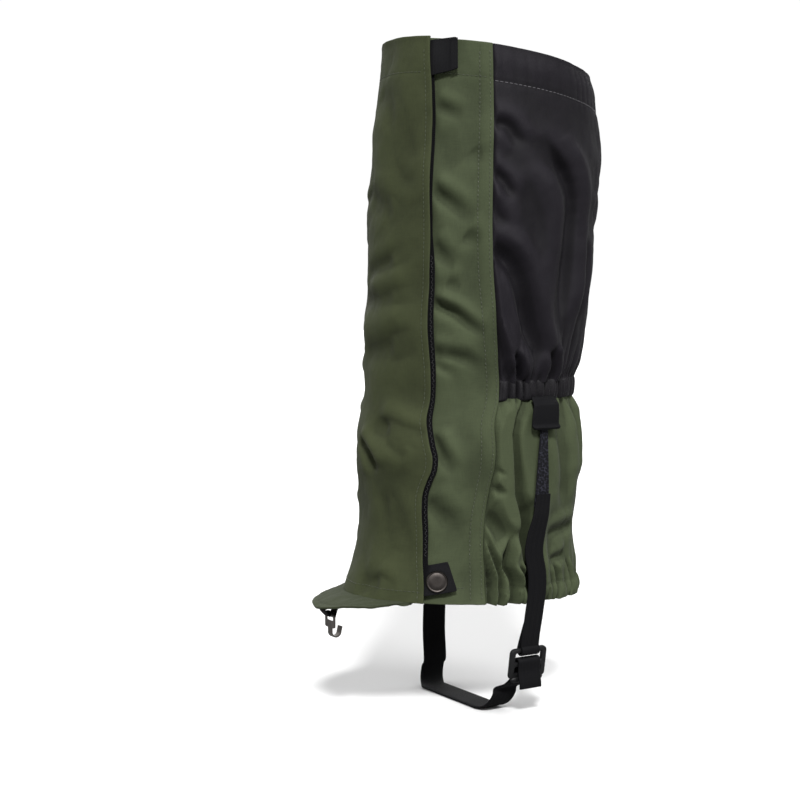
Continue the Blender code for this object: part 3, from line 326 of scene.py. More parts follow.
def scattered(seed, count, low, high, start, end, depth, lean):
    """Seeded creases for the sides that the leading view doesn't show."""
    draw = np.random.default_rng(seed)
    rows = []
    for index in range(count):
        theta = start + (end - start) * (index + draw.uniform(0.15, 0.85)) / count
        height = low + (high - low) * draw.uniform(0.08, 0.92)
        length, slope = draw.uniform(0.028, 0.062), draw.uniform(*lean)
        sweep = math.degrees(length * math.cos(slope) / ARC) * draw.choice((-1.0, 1.0))
        drop = length * math.sin(slope)
        bow = draw.uniform(-2.5, 2.5)
        rows.append((depth * draw.uniform(0.55, 1.0), draw.uniform(0.0042, 0.0070), draw.uniform(-0.5, 0.5),
                     (theta - sweep / 2, height + drop / 2), (theta + bow, height),
                     (theta + sweep / 2, height - drop / 2)))
    return rows


INNER_FLAP = scattered(11, 5, 0.12, 0.43, -50.0, -14.0, 0.0013, (0.3, 0.9))
BACK_CALF = scattered(23, 12, 0.262, 0.415, 132.0, 300.0, 0.0024, (0.9, 1.45))
BACK_HEEL = scattered(37, 10, 0.110, 0.200, 148.0, 300.0, 0.0022, (0.9, 1.5))


def ripple(theta, count, shift):
    """Gather folds round the leg: round crests and narrow valleys, unevenly spaced."""
    turn = np.radians(theta)
    phase = count * turn + 1.4 * np.sin(5.3 * turn + shift) + 0.9 * np.sin(11.7 * turn + 2.0 * shift)
    uneven = 0.75 + 0.45 * noise(theta / 9.0, 0.0, shift)
    return (1.75 * np.abs(np.sin(phase / 2)) ** 0.75 - 1.0) * uneven


def gathers(theta, distance, sizes, shift=0.0):
    """Folds that start fine at a gathered edge and merge into wider ones away from it."""
    fine, middle, wide = sizes
    distance = np.abs(distance)
    close = bell(distance, 0.0055, 1)
    mid = bell(distance, 0.020, 1.3) * (1.0 - 0.7 * bell(distance, 0.004, 1))
    far = bell(distance, 0.045, 1.5) * (1.0 - bell(distance, 0.010, 1))
    lean = theta + 60.0 * distance * noise(theta / 14.0, 0.5, shift + 3.0)
    return (fine * close * ripple(theta, 76, shift) + middle * mid * ripple(lean, 38, shift)
            + wide * far * ripple(lean, 17, shift + 1.0))


# ---------------------------------------------------------------- heights of each layer off the wrap
def slump(theta, height):
    """Slow unevenness that all the layers share."""
    u, v = along_cloth(theta), np.asarray(height, float)
    lean = u + 0.5 * v
    return 0.0015 * noise(u / 0.034, v / 0.048, 1.0) + 0.0010 * noise(lean / 0.018, (v - 0.6 * u) / 0.026, 2.0)


def small_wrinkles(theta, height, shift):
    u, v = along_cloth(theta), np.asarray(height, float)
    return 0.00022 * noise(u / 0.0070, v / 0.0110, shift) + 0.00010 * noise(u / 0.0030, v / 0.0042, shift + 1.0)


def groove(distance, depth=0.00028, width=0.0009):
    return -depth * bell(distance, width)


def flap_stand(theta):
    """The flap stands off the wrap where it laps the side panel."""
    return FLAP_STAND * smoothstep(theta, -48.0, 2.0)


def front_height(theta, height):
    theta, height = grid(theta, height)
    folds = creases(theta, height, FLAP_CREASES, 1.8) + creases(theta, height, INNER_FLAP, 1.4)
    folds = folds * smoothstep(theta - inner_seam(height), 0.0, 8.0)
    over_tape = smoothstep(theta, flap_edge(height) - 26.0, flap_edge(height) - 20.0)
    folds = folds * (1.0 - over_tape) + np.maximum(folds, -0.0001) * over_tape
    from_edge = along_cloth(cloth_edge(height) - theta)
    folds = folds + 0.0004 * bell(from_edge, 0.0030)
    folds = folds + groove(from_edge - EDGE_LINE, 0.00015) + groove(rim(theta) - PANEL_RIM_LINE - height)
    folds = folds - 0.0008 * smoothstep(theta - inner_seam(height), -0.2, -2.0)
    return flap_stand(theta) + slump(theta, height) + folds + small_wrinkles(theta, height, 4.0)


def side_height(theta, height):
    theta, height = grid(theta, height)
    shown = smoothstep(theta, cloth_edge(height) - 1.0, cloth_edge(height) + 5.0)
    folds = creases(theta, height, SIDE_CREASES, 2.1, cloth_edge, 0.65) + small_wrinkles(theta, height, 6.0)
    to_seam = along_cloth(seam(height) - theta)
    lap = 0.0010 * smoothstep(-to_seam, -0.0110, -0.0020)
    folds = folds * (0.35 + 0.65 * smoothstep(to_seam, 0.001, 0.010)) + lap
    folds = folds + groove(to_seam - SEAM_LINE) + groove(rim(theta) - PANEL_RIM_LINE - height)
    return slump(theta, height) + folds * shown - 0.0003 * (1.0 - shown)


def heel_foot(theta):
    """The gathered hem's lower edge, uneven between its gathers."""
    return hem(theta) + 0.0007 * noise(theta / 2.4, 0.5, 33.0) * smoothstep(theta, 73.0, 79.0)


def ribs(theta):
    """Gathers of the ankle band, which run on into the cloth on both sides of it."""
    return 0.0019 * ripple(theta, 84, 0.6) + 0.0011 * ripple(theta, 37, 3.1)


def near_seams(theta, height):
    """0 at the sewn seams on both sides of the back panels, 1 away from them."""
    return smoothstep(theta - seam(height), 0.0, 3.0) * smoothstep(360.0 + inner_seam(height) - theta, 0.0, 5.0)


def lapped(theta, height):
    """Under the outer panel's turned edge on one side, and over the front panel on the other."""
    under = -0.0013 * smoothstep(theta - seam(height), 1.3, 0.3)
    return under + 0.0008 * smoothstep(theta - 360.0 - inner_seam(height), -3.0, -0.5)


def calf_height(theta, height):
    theta, height = grid(theta, height)
    free = near_seams(theta, height)
    down = rim(theta) - height
    in_hem = smoothstep(down, RIM_HEM + 0.010, RIM_HEM - 0.004)
    folds = creases(theta, height, CALF_CREASES, 2.6, seam) + creases(theta, height, BACK_CALF, 1.6)
    above = height - BAND_MIDDLE - BAND_HEIGHT / 2
    pull = gathers(theta, above, (0.0004, 0.0028, 0.0036)) + ribs(theta) * bell(np.maximum(above, 0.0), 0.009, 1.3)
    puff = 0.0024 * smoothstep(above, -0.002, 0.012) * smoothstep(above, 0.055, 0.012)
    tuck = 0.0006 * smoothstep(above, 0.0030, -0.0005)
    channel = 0.0013 * bell(down - EYELET_DROP, 0.0075)
    pucker = smoothstep(down, 0.001, 0.008) * smoothstep(0.040 - down, 0.0, 0.016)
    pucker = 0.00045 * ripple(theta, 58, 7.0) * pucker
    rim_line = groove(down - CALF_RIM_LINE, 0.0006, 0.0012) + groove(down - 0.0022, 0.0002)
    folds = (folds * (1.0 - 0.75 * in_hem) + pull + puff) * free
    return (slump(theta, height) * (1.0 - 0.4 * in_hem) + folds + tuck + (channel + pucker) * in_hem * free + rim_line
            + lapped(theta, height) + small_wrinkles(theta, height, 8.0))


def heel_height(theta, height):
    theta, height = grid(theta, height)
    free = near_seams(theta, height)
    below = BAND_MIDDLE - BAND_HEIGHT / 2 - height
    above = height - hem(theta) - HEM_BAND
    hang, rise = np.maximum(below, 0.0), np.maximum(above, 0.0)
    folds = creases(theta, height, HEEL_CREASES, 1.8, seam, 0.20) + creases(theta, height, BACK_HEEL, 1.5)
    pull = gathers(theta, hang, (0.0004, 0.0026, 0.0026), 2.0) + 0.8 * ribs(theta) * bell(hang, 0.0065, 1.3)
    pull = pull + gathers(theta + 130.0 * rise, rise, (0.0020, 0.0016, 0.0014), 5.0)
    slits = np.maximum(-ripple(theta + 60.0 * rise, 92, 4.2), 0.0)
    pull = pull - 0.0019 * slits * bell(rise, 0.010, 1.3)
    puff = 0.0018 * smoothstep(below, 0.0, 0.010) * smoothstep(above, 0.0, 0.015)
    tuck = -0.0006 * smoothstep(below, 0.0030, -0.0005)
    casing = 0.0012 * bell(above + HEM_BAND / 2, 0.0050)
    total = (slump(theta, height) + (folds + pull + puff + casing) * free + tuck + groove(above, 0.0007, 0.0011)
             + lapped(theta, height) + small_wrinkles(theta, height, 10.0))
    base, normal = wrap(theta, height)
    room = (STRAP_X - 0.0014 - base[..., 0]) / np.maximum(normal[..., 0], 0.3)
    ease = 0.0005
    pressed = room - ease * np.logaddexp(0.0, (room - total) / ease)
    beneath = smoothstep(height, 0.125, 0.140) * (np.sin(np.radians(theta)) > 0.5)
    return total + (pressed - total) * beneath


def band_height(theta, height):
    theta, height = grid(theta, height)
    free = near_seams(theta, height)
    share = (height - BAND_MIDDLE) / (BAND_HEIGHT / 2)
    crown = np.sqrt(np.clip(1.0 - share ** 2, 0.0, 1.0))
    lean = theta + 1.3 * share * noise(theta / 6.0, 0.5, 14.0)
    return (slump(theta, BAND_MIDDLE) + 0.0008 + (0.0014 * crown + ribs(lean) * (0.75 + 0.35 * crown)) * free
            - 0.0014 * smoothstep(theta - seam(height), 1.1, 0.1) + small_wrinkles(theta, height, 16.0))


def rim_hem_depth(theta, height):
    """Extra depth of the drawcord channel, inwards."""
    down = rim(theta) - height
    return 0.0036 * smoothstep(down, 0.0002, 0.0040) * smoothstep(down, 0.0275, 0.0210)


def lower_hem_depth(theta, height):
    up = height - hem(theta)
    return 0.0018 * smoothstep(up, 0.0002, 0.0030) * smoothstep(up, 0.0125, 0.0090)


# ---------------------------------------------------------------- mesh building
def link_new(name, data):
    made = bpy.data.objects.new(name, data)
    bpy.context.scene.collection.objects.link(made)
    return made


def add_object(name, mesh, body, look, *nodes):
    """A piece with its look, riding on a body, or left unattached with its transform baked in where body is a fold,
    and standing for CAD nodes.
    """
    mesh.name = name
    made = link_new(name, mesh)
    mesh.materials.clear()
    mesh.materials.append(look)
    if isinstance(body, str):
        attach(made, body)
    else:
        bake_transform(made)
    if nodes:
        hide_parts(*nodes)
    return made


def new_mesh(points, faces):
    mesh = bpy.data.meshes.new("piece")
    mesh.from_pydata(points, [], faces)
    return mesh


def shade(mesh, angle):
    mesh.shade_smooth()
    mesh.set_sharp_from_angle(angle=math.radians(angle))


def outward(mesh, weld=0.0):
    """Turns a closed mesh's faces outwards, after welding its double points where asked."""
    shell = bmesh.new()
    shell.from_mesh(mesh)
    if weld:
        bmesh.ops.remove_doubles(shell, verts=shell.verts, dist=weld)
    bmesh.ops.recalc_face_normals(shell, faces=shell.faces)
    shell.to_mesh(mesh)
    shell.free()


def lay_flat(mesh, flat, relief):
    """Gives each point its lengths along the cloth as UV, and the height of its folds as a number."""
    layer = mesh.uv_layers.new(name="cloth")
    corners = np.zeros(len(mesh.loops), int)
    mesh.loops.foreach_get("vertex_index", corners)
    layer.data.foreach_set("uv", flat[corners].astype(np.float32).ravel())
    mesh.attributes.new("relief", "FLOAT", "POINT").data.foreach_set("value", relief.astype(np.float32))


def shell_mesh(outer, inner, flat, relief):
    """Closed cloth shell from its outer and inner grids, with lengths along the cloth as UV."""
    rows, columns = outer.shape[:2]
    count = rows * columns
    index = np.arange(count).reshape(rows, columns)
    quads = np.stack([index[:-1, :-1], index[:-1, 1:], index[1:, 1:], index[1:, :-1]], -1).reshape(-1, 4)
    border = np.concatenate([index[0, :], index[1:, -1], index[-1, -2::-1], index[-2:0:-1, 0]])
    after = np.roll(border, -1)
    sides = np.stack([after, border, border + count, after + count], -1)
    faces = np.concatenate([quads, quads[:, ::-1] + count, sides])
    points = np.concatenate([outer.reshape(-1, 3), inner.reshape(-1, 3)])
    mesh = new_mesh(points.tolist(), faces.tolist())
    lay_flat(mesh, np.tile(flat.reshape(-1, 2), (2, 1)), np.tile(relief.ravel(), 2))
    shade(mesh, 60.0)
    return mesh


def blur(values, reach):
    """Box blur of a grid, three times over."""
    for _ in range(3):
        for axis in (0, 1):
            padded = np.concatenate([np.repeat(np.take(values, [0], axis), reach + 1, axis), values,
                                     np.repeat(np.take(values, [-1], axis), reach, axis)], axis)
            total = np.cumsum(padded, axis)
            size = values.shape[axis]
            upper = np.take(total, np.arange(2 * reach + 1, 2 * reach + 1 + size), axis)
            lower = np.take(total, np.arange(size), axis)
            values = (upper - lower) / (2 * reach + 1)
    return values


def spread(count, at_start, at_end, fine):
    """Shares from 0 to 1, with extra close ones at the turned ends for a rounded edge."""
    close = [fine * step for step in (0.25, 0.7, 1.4, 2.4)]
    return np.unique(np.concatenate([np.linspace(0.0, 1.0, count + 1), close[:4 * at_start],
                                     [1.0 - step for step in close[:4 * at_end]]]))


CLOTH, TURNED, TURN_REACH, ROUND_OFF = 0.0007, 0.0007, 0.0060, 0.0006     # thickness, more of it at turned edges


def cloth_panel(name, start, end, low, high, height_of, across, up, body, look, nodes, thickness=CLOTH,
                fold=(0, 0, 0, 0), hem_fold=None):
    """Panel of cloth on the wrap. fold says which edges are turned ones: start, end, low, high."""
    s, t = spread(across, *fold[:2], 0.0045), spread(up, *fold[2:], 0.0015)
    level = np.full((len(t), len(s)), 0.25)
    for _ in range(4):
        theta = start(level) + (end(level) - start(level)) * s[None, :]
        level = low(theta) + (high(theta) - low(theta)) * t[:, None]
    base, normal = wrap(theta, level)
    height = height_of(theta, level)
    thick = np.full_like(height, thickness)
    edges = ((fold[0], along_cloth(theta - start(level))), (fold[1], along_cloth(end(level) - theta)),
             (fold[2], level - low(theta)), (fold[3], high(theta) - level))
    for turned, distance in edges:
        if turned:
            thick = thick + TURNED * smoothstep(distance, TURN_REACH, 0.0)
            short = np.clip(ROUND_OFF - distance, 0.0, ROUND_OFF)
            dip = ROUND_OFF - np.sqrt(np.maximum(ROUND_OFF ** 2 - short ** 2, 0.0))
            height = height - dip
            thick = thick - 1.7 * dip
    if hem_fold:
        thick = thick + hem_fold(theta, level)
    outer = base + normal * height[..., None]
    inner = base + normal * (height - np.maximum(thick, 0.0001))[..., None]
    # The relief number is the fold height against its blurred surroundings; the cloth looks turn it into painted
    # shade in the valleys and a painted highlight on the crests.
    relief = 0.25 * (height - blur(height, 3)) / 0.0010 + 0.55 * (height - blur(height, 12)) / 0.0022
    for turned, distance in edges:
        # Turned edges get a further lift: a painted highlight along the fold line, together with wear.
        relief = relief + 0.40 * turned * bell(distance, 0.0009)
    flat = np.stack([along_cloth(theta), level], -1)
    mesh = shell_mesh(outer, inner, flat, np.clip(0.5 + relief, 0.0, 1.0))
    return add_object(name, mesh, body, look, *nodes)


def around(sides):
    return np.linspace(0.0, 2.0 * math.pi, sides, endpoint=False)


def stitches(name, body, look, height_of, theta, level, pitch=0.0030, length=0.0023, radius=0.00020, slant=0.0):
    """Row of thread stitches along a layer, each a small bowed capsule that dips into the cloth at its ends."""
    theta, level = grid(theta, level)
    base, normals = wrap(theta, level)
    path = base + normals * (height_of(theta, level) + 0.0001)[..., None]
    step = lengths_along(path)
    count = max(int(step[-1] / pitch), 2)
    points, faces = [], []
    for number in range(count):
        middle = (number + 0.5) * pitch
        ends = [middle - length / 2, middle + length / 2]
        a, b = [np.array([np.interp(end, step, path[:, axis]) for axis in range(3)]) for end in ends]
        off = np.array([np.interp(middle, step, normals[:, axis]) for axis in range(3)])
        off /= np.linalg.norm(off)
        along = (b - a) / max(np.linalg.norm(b - a), 1e-9)
        across = np.cross(off, along)
        if slant:
            tilt = slant if number % 2 else -slant
            a, b = a + across * tilt, b - across * tilt
        first = len(points)
        for share, size, lift in ((0.0, 0.35, -0.9), (0.12, 0.9, 0.1), (0.5, 1.0, 0.75), (0.88, 0.9, 0.1),
                                  (1.0, 0.35, -0.9)):
            middle_point = a + (b - a) * share + off * radius * lift
            for angle in around(6):
                points.append(middle_point + radius * size * (math.cos(angle) * across + math.sin(angle) * off))
        for ring in range(4):
            for corner in range(6):
                following = (corner + 1) % 6
                faces.append((first + ring * 6 + corner, first + ring * 6 + following,
                              first + ring * 6 + 6 + following, first + ring * 6 + 6 + corner))
        faces.append(tuple(first + corner for corner in range(5, -1, -1)))
        faces.append(tuple(first + 24 + corner for corner in range(6)))
    mesh = new_mesh([tuple(point) for point in points], faces)
    shade(mesh, 80.0)
    return add_object(name, mesh, body, look)


def stitch_up(name, azimuth, low, high, height_of, body, look, **style):
    """Stitches up a line of given azimuth at each height."""
    level = np.linspace(low, high, 240)
    return stitches(name, body, look, height_of, azimuth(level), level, **style)


def stitch_round(name, level, start, end, height_of, body, look, **style):
    """Stitches round the leg at a given height for each azimuth."""
    theta = np.linspace(start, end, 400)
    return stitches(name, body, look, height_of, theta, level(theta), **style)


def loft_mesh(rings, smooth=55.0):
    """Closed body through rings, with UVs round and along it."""
    rings = np.array(rings, float)
    count, sides = rings.shape[:2]
    index = np.arange(count * sides).reshape(count, sides)
    after = np.roll(index, -1, axis=1)
    quads = np.stack([index[:-1], after[:-1], after[1:], index[1:]], -1).reshape(-1, 4)
    faces = quads.tolist() + [index[0, ::-1].tolist(), index[-1].tolist()]
    mesh = new_mesh(rings.reshape(-1, 3).tolist(), faces)
    outward(mesh)
    girth = lengths_along(np.concatenate([rings[0], rings[0][:1]]))
    middle = girth[-1] / 2
    round_it = np.where(girth[:-1] > middle, 2 * middle - girth[:-1], girth[:-1])
    flat = np.stack(np.meshgrid(round_it, lengths_along(rings.mean(axis=1))), -1).reshape(-1, 2)
    lay_flat(mesh, flat, np.full(len(mesh.vertices), 0.5))
    shade(mesh, smooth)
    return mesh


def strap_section(width, thickness):
    """Outline of flat webbing with rounded edges: (across, off) pairs."""
    radius = thickness / 2
    flat = width / 2 - radius
    outline = []
    for side in (1.0, -1.0):
        outline += [(side * share * flat, -side * radius) for share in np.linspace(-1.0, 1.0, 9)]
        for angle in np.radians(np.linspace(-90.0, 90.0, 6)[1:-1]):
            outline.append((side * (flat + radius * math.cos(angle)), side * radius * math.sin(angle)))
    return outline


def webbing_mesh(centres, widths, thickness, across, ripple_size=0.0):
    """Flat webbing round its centre line. Its width runs along the direction across."""
    rings = []
    for place, (centre, width, step) in enumerate(zip(centres, widths, np.gradient(centres, axis=0))):
        off = unit(np.cross(step, across))
        swell = 1.0 + ripple_size * math.sin(place * 1.9)
        rings.append([centre + np.array(across) * (x * swell) + off * y
                      for x, y in strap_section(width, thickness)])
    return loft_mesh(rings)


def strap(name, stations, thickness, body, look, nodes, count=90, ripple_size=0.0):
    """Webbing along stations of (centre, width); its width runs along Y."""
    raw = np.array([tuple(row[0]) for row in stations])
    knots = lengths_along(raw)
    widths = np.interp(np.linspace(0.0, 1.0, count) * knots[-1], knots, [row[1] for row in stations])
    mesh = webbing_mesh(smooth_path(raw, count), widths, thickness, (0.0, 1.0, 0.0), ripple_size)
    return add_object(name, mesh, body, look, *nodes)


def lathe_mesh(profile, place, steps=64):
    """Turned body: profile of (radius, height) from the top's axis or bore round to the bottom's."""
    closed = profile[0][0] > 0.0 or profile[-1][0] > 0.0
    build = bmesh.new()
    rings = []
    for radius, height in profile:
        if radius <= 0.0:
            rings.append([build.verts.new(place @ Vector((0.0, 0.0, height)))])
            continue
        rings.append([build.verts.new(place @ Vector((radius * math.cos(turn), radius * math.sin(turn), height)))
                      for turn in around(steps)])
    pairs = list(zip(rings, rings[1:]))
    if closed:
        pairs.append((rings[-1], rings[0]))
    for upper, lower in pairs:
        for side in range(steps):
            following = (side + 1) % steps
            face = [upper[side % len(upper)], lower[side % len(lower)],
                    lower[following % len(lower)], upper[following % len(upper)]]
            corners = list(dict.fromkeys(face))
            if len(corners) > 2:
                build.faces.new(corners)
    bmesh.ops.recalc_face_normals(build, faces=build.faces)
    mesh = bpy.data.meshes.new("piece")
    build.to_mesh(mesh)
    build.free()
    shade(mesh, 35.0)
    return mesh


def axes_matrix(along, up, out, place):
    return Matrix([tuple(row) for row in zip(along, up, out, place)] + [(0.0, 0.0, 0.0, 1.0)])


def wrap_frame(theta, height):
    """Matrix at a point of the wrap: X along it, Y up it, Z out of it."""
    points = wrap(np.array([theta + 0.2, theta - 0.2, theta, theta, theta]),
                  np.array([height, height, height + 0.002, height - 0.002, height]))[0]
    along = Vector(points[0] - points[1])
    rise = Vector(points[2] - points[3])
    out = along.cross(rise).normalized()
    along = along.normalized()
    return axes_matrix(along, out.cross(along), out, Vector(points[4]))


# ---------------------------------------------------------------- materials
class Recipe:
    """Small helper that lays out a material's nodes."""

    def __init__(self, name, roughness, metallic=0.0, sheen=0.0, sheen_roughness=0.5, specular=0.5):
        self.made = bpy.data.materials.new(name)
        self.made.use_nodes = True
        self.tree = self.made.node_tree
        self.shader = self.tree.nodes["Principled BSDF"]
        for socket, value in (("Roughness", roughness), ("Metallic", metallic), ("Sheen Weight", sheen),
                              ("Sheen Roughness", sheen_roughness), ("Specular IOR Level", specular)):
            self.shader.inputs[socket].default_value = value

    def node(self, kind, **settings):
        made = self.tree.nodes.new(kind)
        for key, value in settings.items():
            setattr(made, key, value)
        return made

    def link(self, source, target):
        self.tree.links.new(source, target)

    def math(self, operation, first, second=None, third=None):
        made = self.node("ShaderNodeMath", operation=operation)
        for slot_number, value in enumerate((first, second, third)):
            if value is None:
                continue
            if isinstance(value, (int, float)):
                made.inputs[slot_number].default_value = value
            else:
                self.link(value, made.inputs[slot_number])
        return made.outputs[0]

    def times(self, *values):
        return self.math("MULTIPLY", *values)

    def plus(self, *values):
        return self.math("ADD", *values)

    def times_plus(self, *values):
        return self.math("MULTIPLY_ADD", *values)

    def lengths(self):
        """Lengths along the cloth, in millimetres, as two numbers."""
        place = self.node("ShaderNodeUVMap", uv_map="cloth")
        split = self.node("ShaderNodeSeparateXYZ")
        self.link(place.outputs[0], split.inputs[0])
        return self.math("MULTIPLY", split.outputs[0], 1000.0), self.math("MULTIPLY", split.outputs[1], 1000.0)

    def noise(self, scale, detail=2.0, vector=None, rough=0.5):
        made = self.node("ShaderNodeTexNoise")
        made.inputs["Scale"].default_value = scale
        made.inputs["Detail"].default_value = detail
        made.inputs["Roughness"].default_value = rough
        if vector is None:
            vector = self.node("ShaderNodeTexCoord").outputs["Object"]
        self.link(vector, made.inputs["Vector"])
        return made.outputs[0]

    def cloth_noise(self, detail, across, along):
        """Noise over the cloth, from lengths along it."""
        made = self.node("ShaderNodeCombineXYZ")
        self.link(across, made.inputs[0])
        self.link(along, made.inputs[1])
        return self.noise(1.0, detail, made.outputs[0])

    def wave(self, value, pitch):
        """Crests one pitch apart, from 0 to 1."""
        return self.times_plus(self.math("SINE", self.times(value, 2 * math.pi / pitch)), 0.5, 0.5)

    def ramp(self, value, *stops):
        made = self.node("ShaderNodeValToRGB")
        while len(made.color_ramp.elements) < len(stops):
            made.color_ramp.elements.new(0.5)
        for element, (position, colour) in zip(made.color_ramp.elements, stops):
            element.position = position
            element.color = (*colour, 1.0)
        self.link(value, made.inputs[0])
        return made.outputs[0]

    def tones(self, value, colour, *stops):
        """The colour times a factor that goes from stop to stop of the value."""
        return self.ramp(value, *((position, scaled(colour, factor)) for position, factor in stops))

    def mask(self, value, start, end):
        return self.ramp(value, (start, (0, 0, 0)), (end, (1, 1, 1)))

    def mix(self, share, first, second):
        made = self.node("ShaderNodeMix", data_type="RGBA")
        for socket, value in ((made.inputs[0], share), (made.inputs[6], first), (made.inputs[7], second)):
            if isinstance(value, (int, float)):
                socket.default_value = value
            elif isinstance(value, tuple):
                socket.default_value = (*value, 1.0)
            else:
                self.link(value, socket)
        return made.outputs[2]

    def colour(self, value):
        self.link(value, self.shader.inputs["Base Color"])

    def rough(self, value, low, high):
        span = self.node("ShaderNodeMapRange")
        self.link(value, span.inputs[0])
        span.inputs[3].default_value = low
        span.inputs[4].default_value = high
        self.link(span.outputs[0], self.shader.inputs["Roughness"])

    def bump(self, value, strength, distance=0.0002):
        made = self.node("ShaderNodeBump")
        made.inputs["Strength"].default_value = strength
        made.inputs["Distance"].default_value = distance
        self.link(value, made.inputs["Height"])
        self.link(made.outputs[0], self.shader.inputs["Normal"])


def scaled(colour, factor):
    return tuple(part * factor for part in colour)


def woven(name, colour, roughness, sheen, twill, pitch=0.62, specular=0.35, crest_highlight_and_wear=1.45, valley_shade=0.30,
          reach=(0.12, 0.95)):
    """Coated cloth: twill or plain weave, uneven yarn, painted shade that darkens its fold valleys, and a painted
    highlight, together with wear, that pales its crests and turned edges.
    """
    made = Recipe(name, roughness, sheen=sheen, sheen_roughness=0.45, specular=specular)
    across, along = made.lengths()
    if twill:
        weave = made.wave(made.plus(across, made.times(along, 0.85)), pitch)
        cross = made.times(made.wave(across, pitch * 0.52), made.wave(along, pitch * 0.52))
        weave = made.times_plus(cross, 0.35, made.times(weave, 0.65))
    else:
        over, under = [made.math("SINE", made.times(way, 2 * math.pi / pitch)) for way in (across, along)]
        weave = made.times_plus(made.times(over, under), 0.5, 0.5)
    warp = made.cloth_noise(3.0, made.times(across, 1.4), made.times(along, 0.12))
    weft = made.cloth_noise(3.0, made.times(across, 0.12), made.times(along, 1.4))
    yarn = made.times_plus(made.plus(warp, weft), 0.5, 0.0)
    cloud = made.noise(18.0, 4.0, rough=0.6)
    relief = made.node("ShaderNodeAttribute", attribute_name="relief").outputs["Fac"]
    # Painted shade darkens the fold valleys, and a painted highlight together with wear pales the crests and turned
    # edges, both read from the relief number.
    tone = made.tones(relief, colour, (reach[0], valley_shade), (0.5, 1.0), (reach[1], crest_highlight_and_wear))
    tone = made.mix(0.55, tone, made.tones(yarn, colour, (0.30, 0.66), (0.70, 1.34)))
    tone = made.mix(made.times(made.mask(cloud, 0.35, 0.75), 0.30), tone, scaled(colour, 1.28))
    tone = made.mix(0.30, tone, made.tones(weave, colour, (0.05, 0.55), (0.8, 1.25)))
    made.colour(tone)
    made.rough(yarn, roughness - 0.08, roughness + 0.10)
    made.bump(made.times_plus(yarn, 0.6, weave), 0.45, 0.00018)
    return made.made


def webbing(name, colour, roughness, pitch=1.5, ribs=1.1):
    """Flat webbing: herringbone ribs along it and fine picks across."""
    made = Recipe(name, roughness, sheen=0.01, sheen_roughness=0.4, specular=0.13)
    across, along = made.lengths()
    chevron = made.wave(made.plus(along, made.times(made.math("PINGPONG", across, pitch), 0.9)), 0.75)
    weave = made.times_plus(made.wave(across, ribs), 0.5, made.times(chevron, 0.7))
    cloud = made.noise(60.0, 3.0)
    tone = made.tones(weave, colour, (0.1, 0.62), (0.95, 1.55))
    made.colour(made.mix(made.times(cloud, 0.35), tone, scaled(colour, 1.9)))
    made.rough(cloud, roughness - 0.06, roughness + 0.10)
    made.bump(weave, 0.5, 0.00020)
    return made.made


def elastic_look(name, colour):
    """Ribbed elastic: rubber cords along it, covered in crossed thread, with pale specks."""
    made = Recipe(name, 0.78, sheen=0.01, specular=0.16)
    across, along = made.lengths()
    pick = made.wave(made.plus(along, made.times(made.math("PINGPONG", across, 1.25), 0.6)), 1.0)
    weave = made.times_plus(made.wave(across, 1.25), 0.6, made.times(pick, 0.5))
    speck = made.cloth_noise(2.0, made.times(across, 0.80), made.times(along, 0.66))
    tone = made.tones(weave, colour, (0.1, 0.4), (0.9, 1.8))
    made.colour(made.mix(made.mask(speck, 0.50, 0.62), tone, scaled(colour, 6.5)))
    made.bump(weave, 0.9, 0.0003)
    return made.made


def fuzzy(name, colour, hooks):
    """One face of hook-and-loop: a bed of short hooks in rows, or of tangled loops."""
    made = Recipe(name, 0.95, sheen=0.02 if hooks else 0.06, specular=0.12)
    across, along = made.lengths()
    if hooks:
        bed = made.times(made.wave(across, 1.1), made.wave(along, 1.3))
    else:
        bed = made.cloth_noise(4.0, made.times(across, 1.6), made.times(along, 1.6))
    made.colour(made.tones(bed, colour, (0.25, 0.5), (0.8, 1.7)))
    made.bump(bed, 0.9, 0.0005)
    return made.made


def moulded(name, colour, roughness):
    """Moulded plastic: fine spark-eroded grain and faint flow marks."""
    made = Recipe(name, roughness, specular=0.32)
    flow = made.noise(90.0, 3.0)
    made.colour(made.tones(flow, colour, (0.3, 0.8), (0.75, 1.6)))
    made.rough(flow, roughness - 0.08, roughness + 0.12)
    made.bump(made.noise(2600.0, 2.0), 0.12, 0.0001)
    return made.made


def plated(name, colour, roughness):
    """Plated metal: soft brushing, small scratches and a tone that varies at random."""
    made = Recipe(name, roughness, metallic=1.0)
    scratch = made.noise(900.0, 5.0, rough=0.7)
    made.colour(made.tones(made.noise(140.0, 4.0), colour, (0.3, 0.72), (0.75, 1.25)))
    made.rough(scratch, roughness - 0.08, roughness + 0.12)
    made.bump(scratch, 0.06, 0.00005)
    return made.made


def thread(name, colour):
    """Sewing thread: a twisted ply seen as fine slanted lines."""
    made = Recipe(name, 0.6, sheen=0.2, specular=0.4)
    ply = made.noise(1400.0, 2.0)
    made.colour(made.tones(ply, colour, (0.35, 0.7), (0.65, 1.3)))
    made.bump(ply, 0.3, 0.0001)
    return made.made


# The flap's green is darker than the side's partly as painted shade for the shading across the flap and its folds,
# and partly as the flap cloth's own tone.
FLAP_GREEN_WITH_SHADE = (0.0418, 0.0497, 0.0216)
GREEN_SIDE = (0.0535, 0.0665, 0.0340)
GREEN_PEAK = (0.0375, 0.0450, 0.0238)
BLACK = (0.0065, 0.0053, 0.0080)
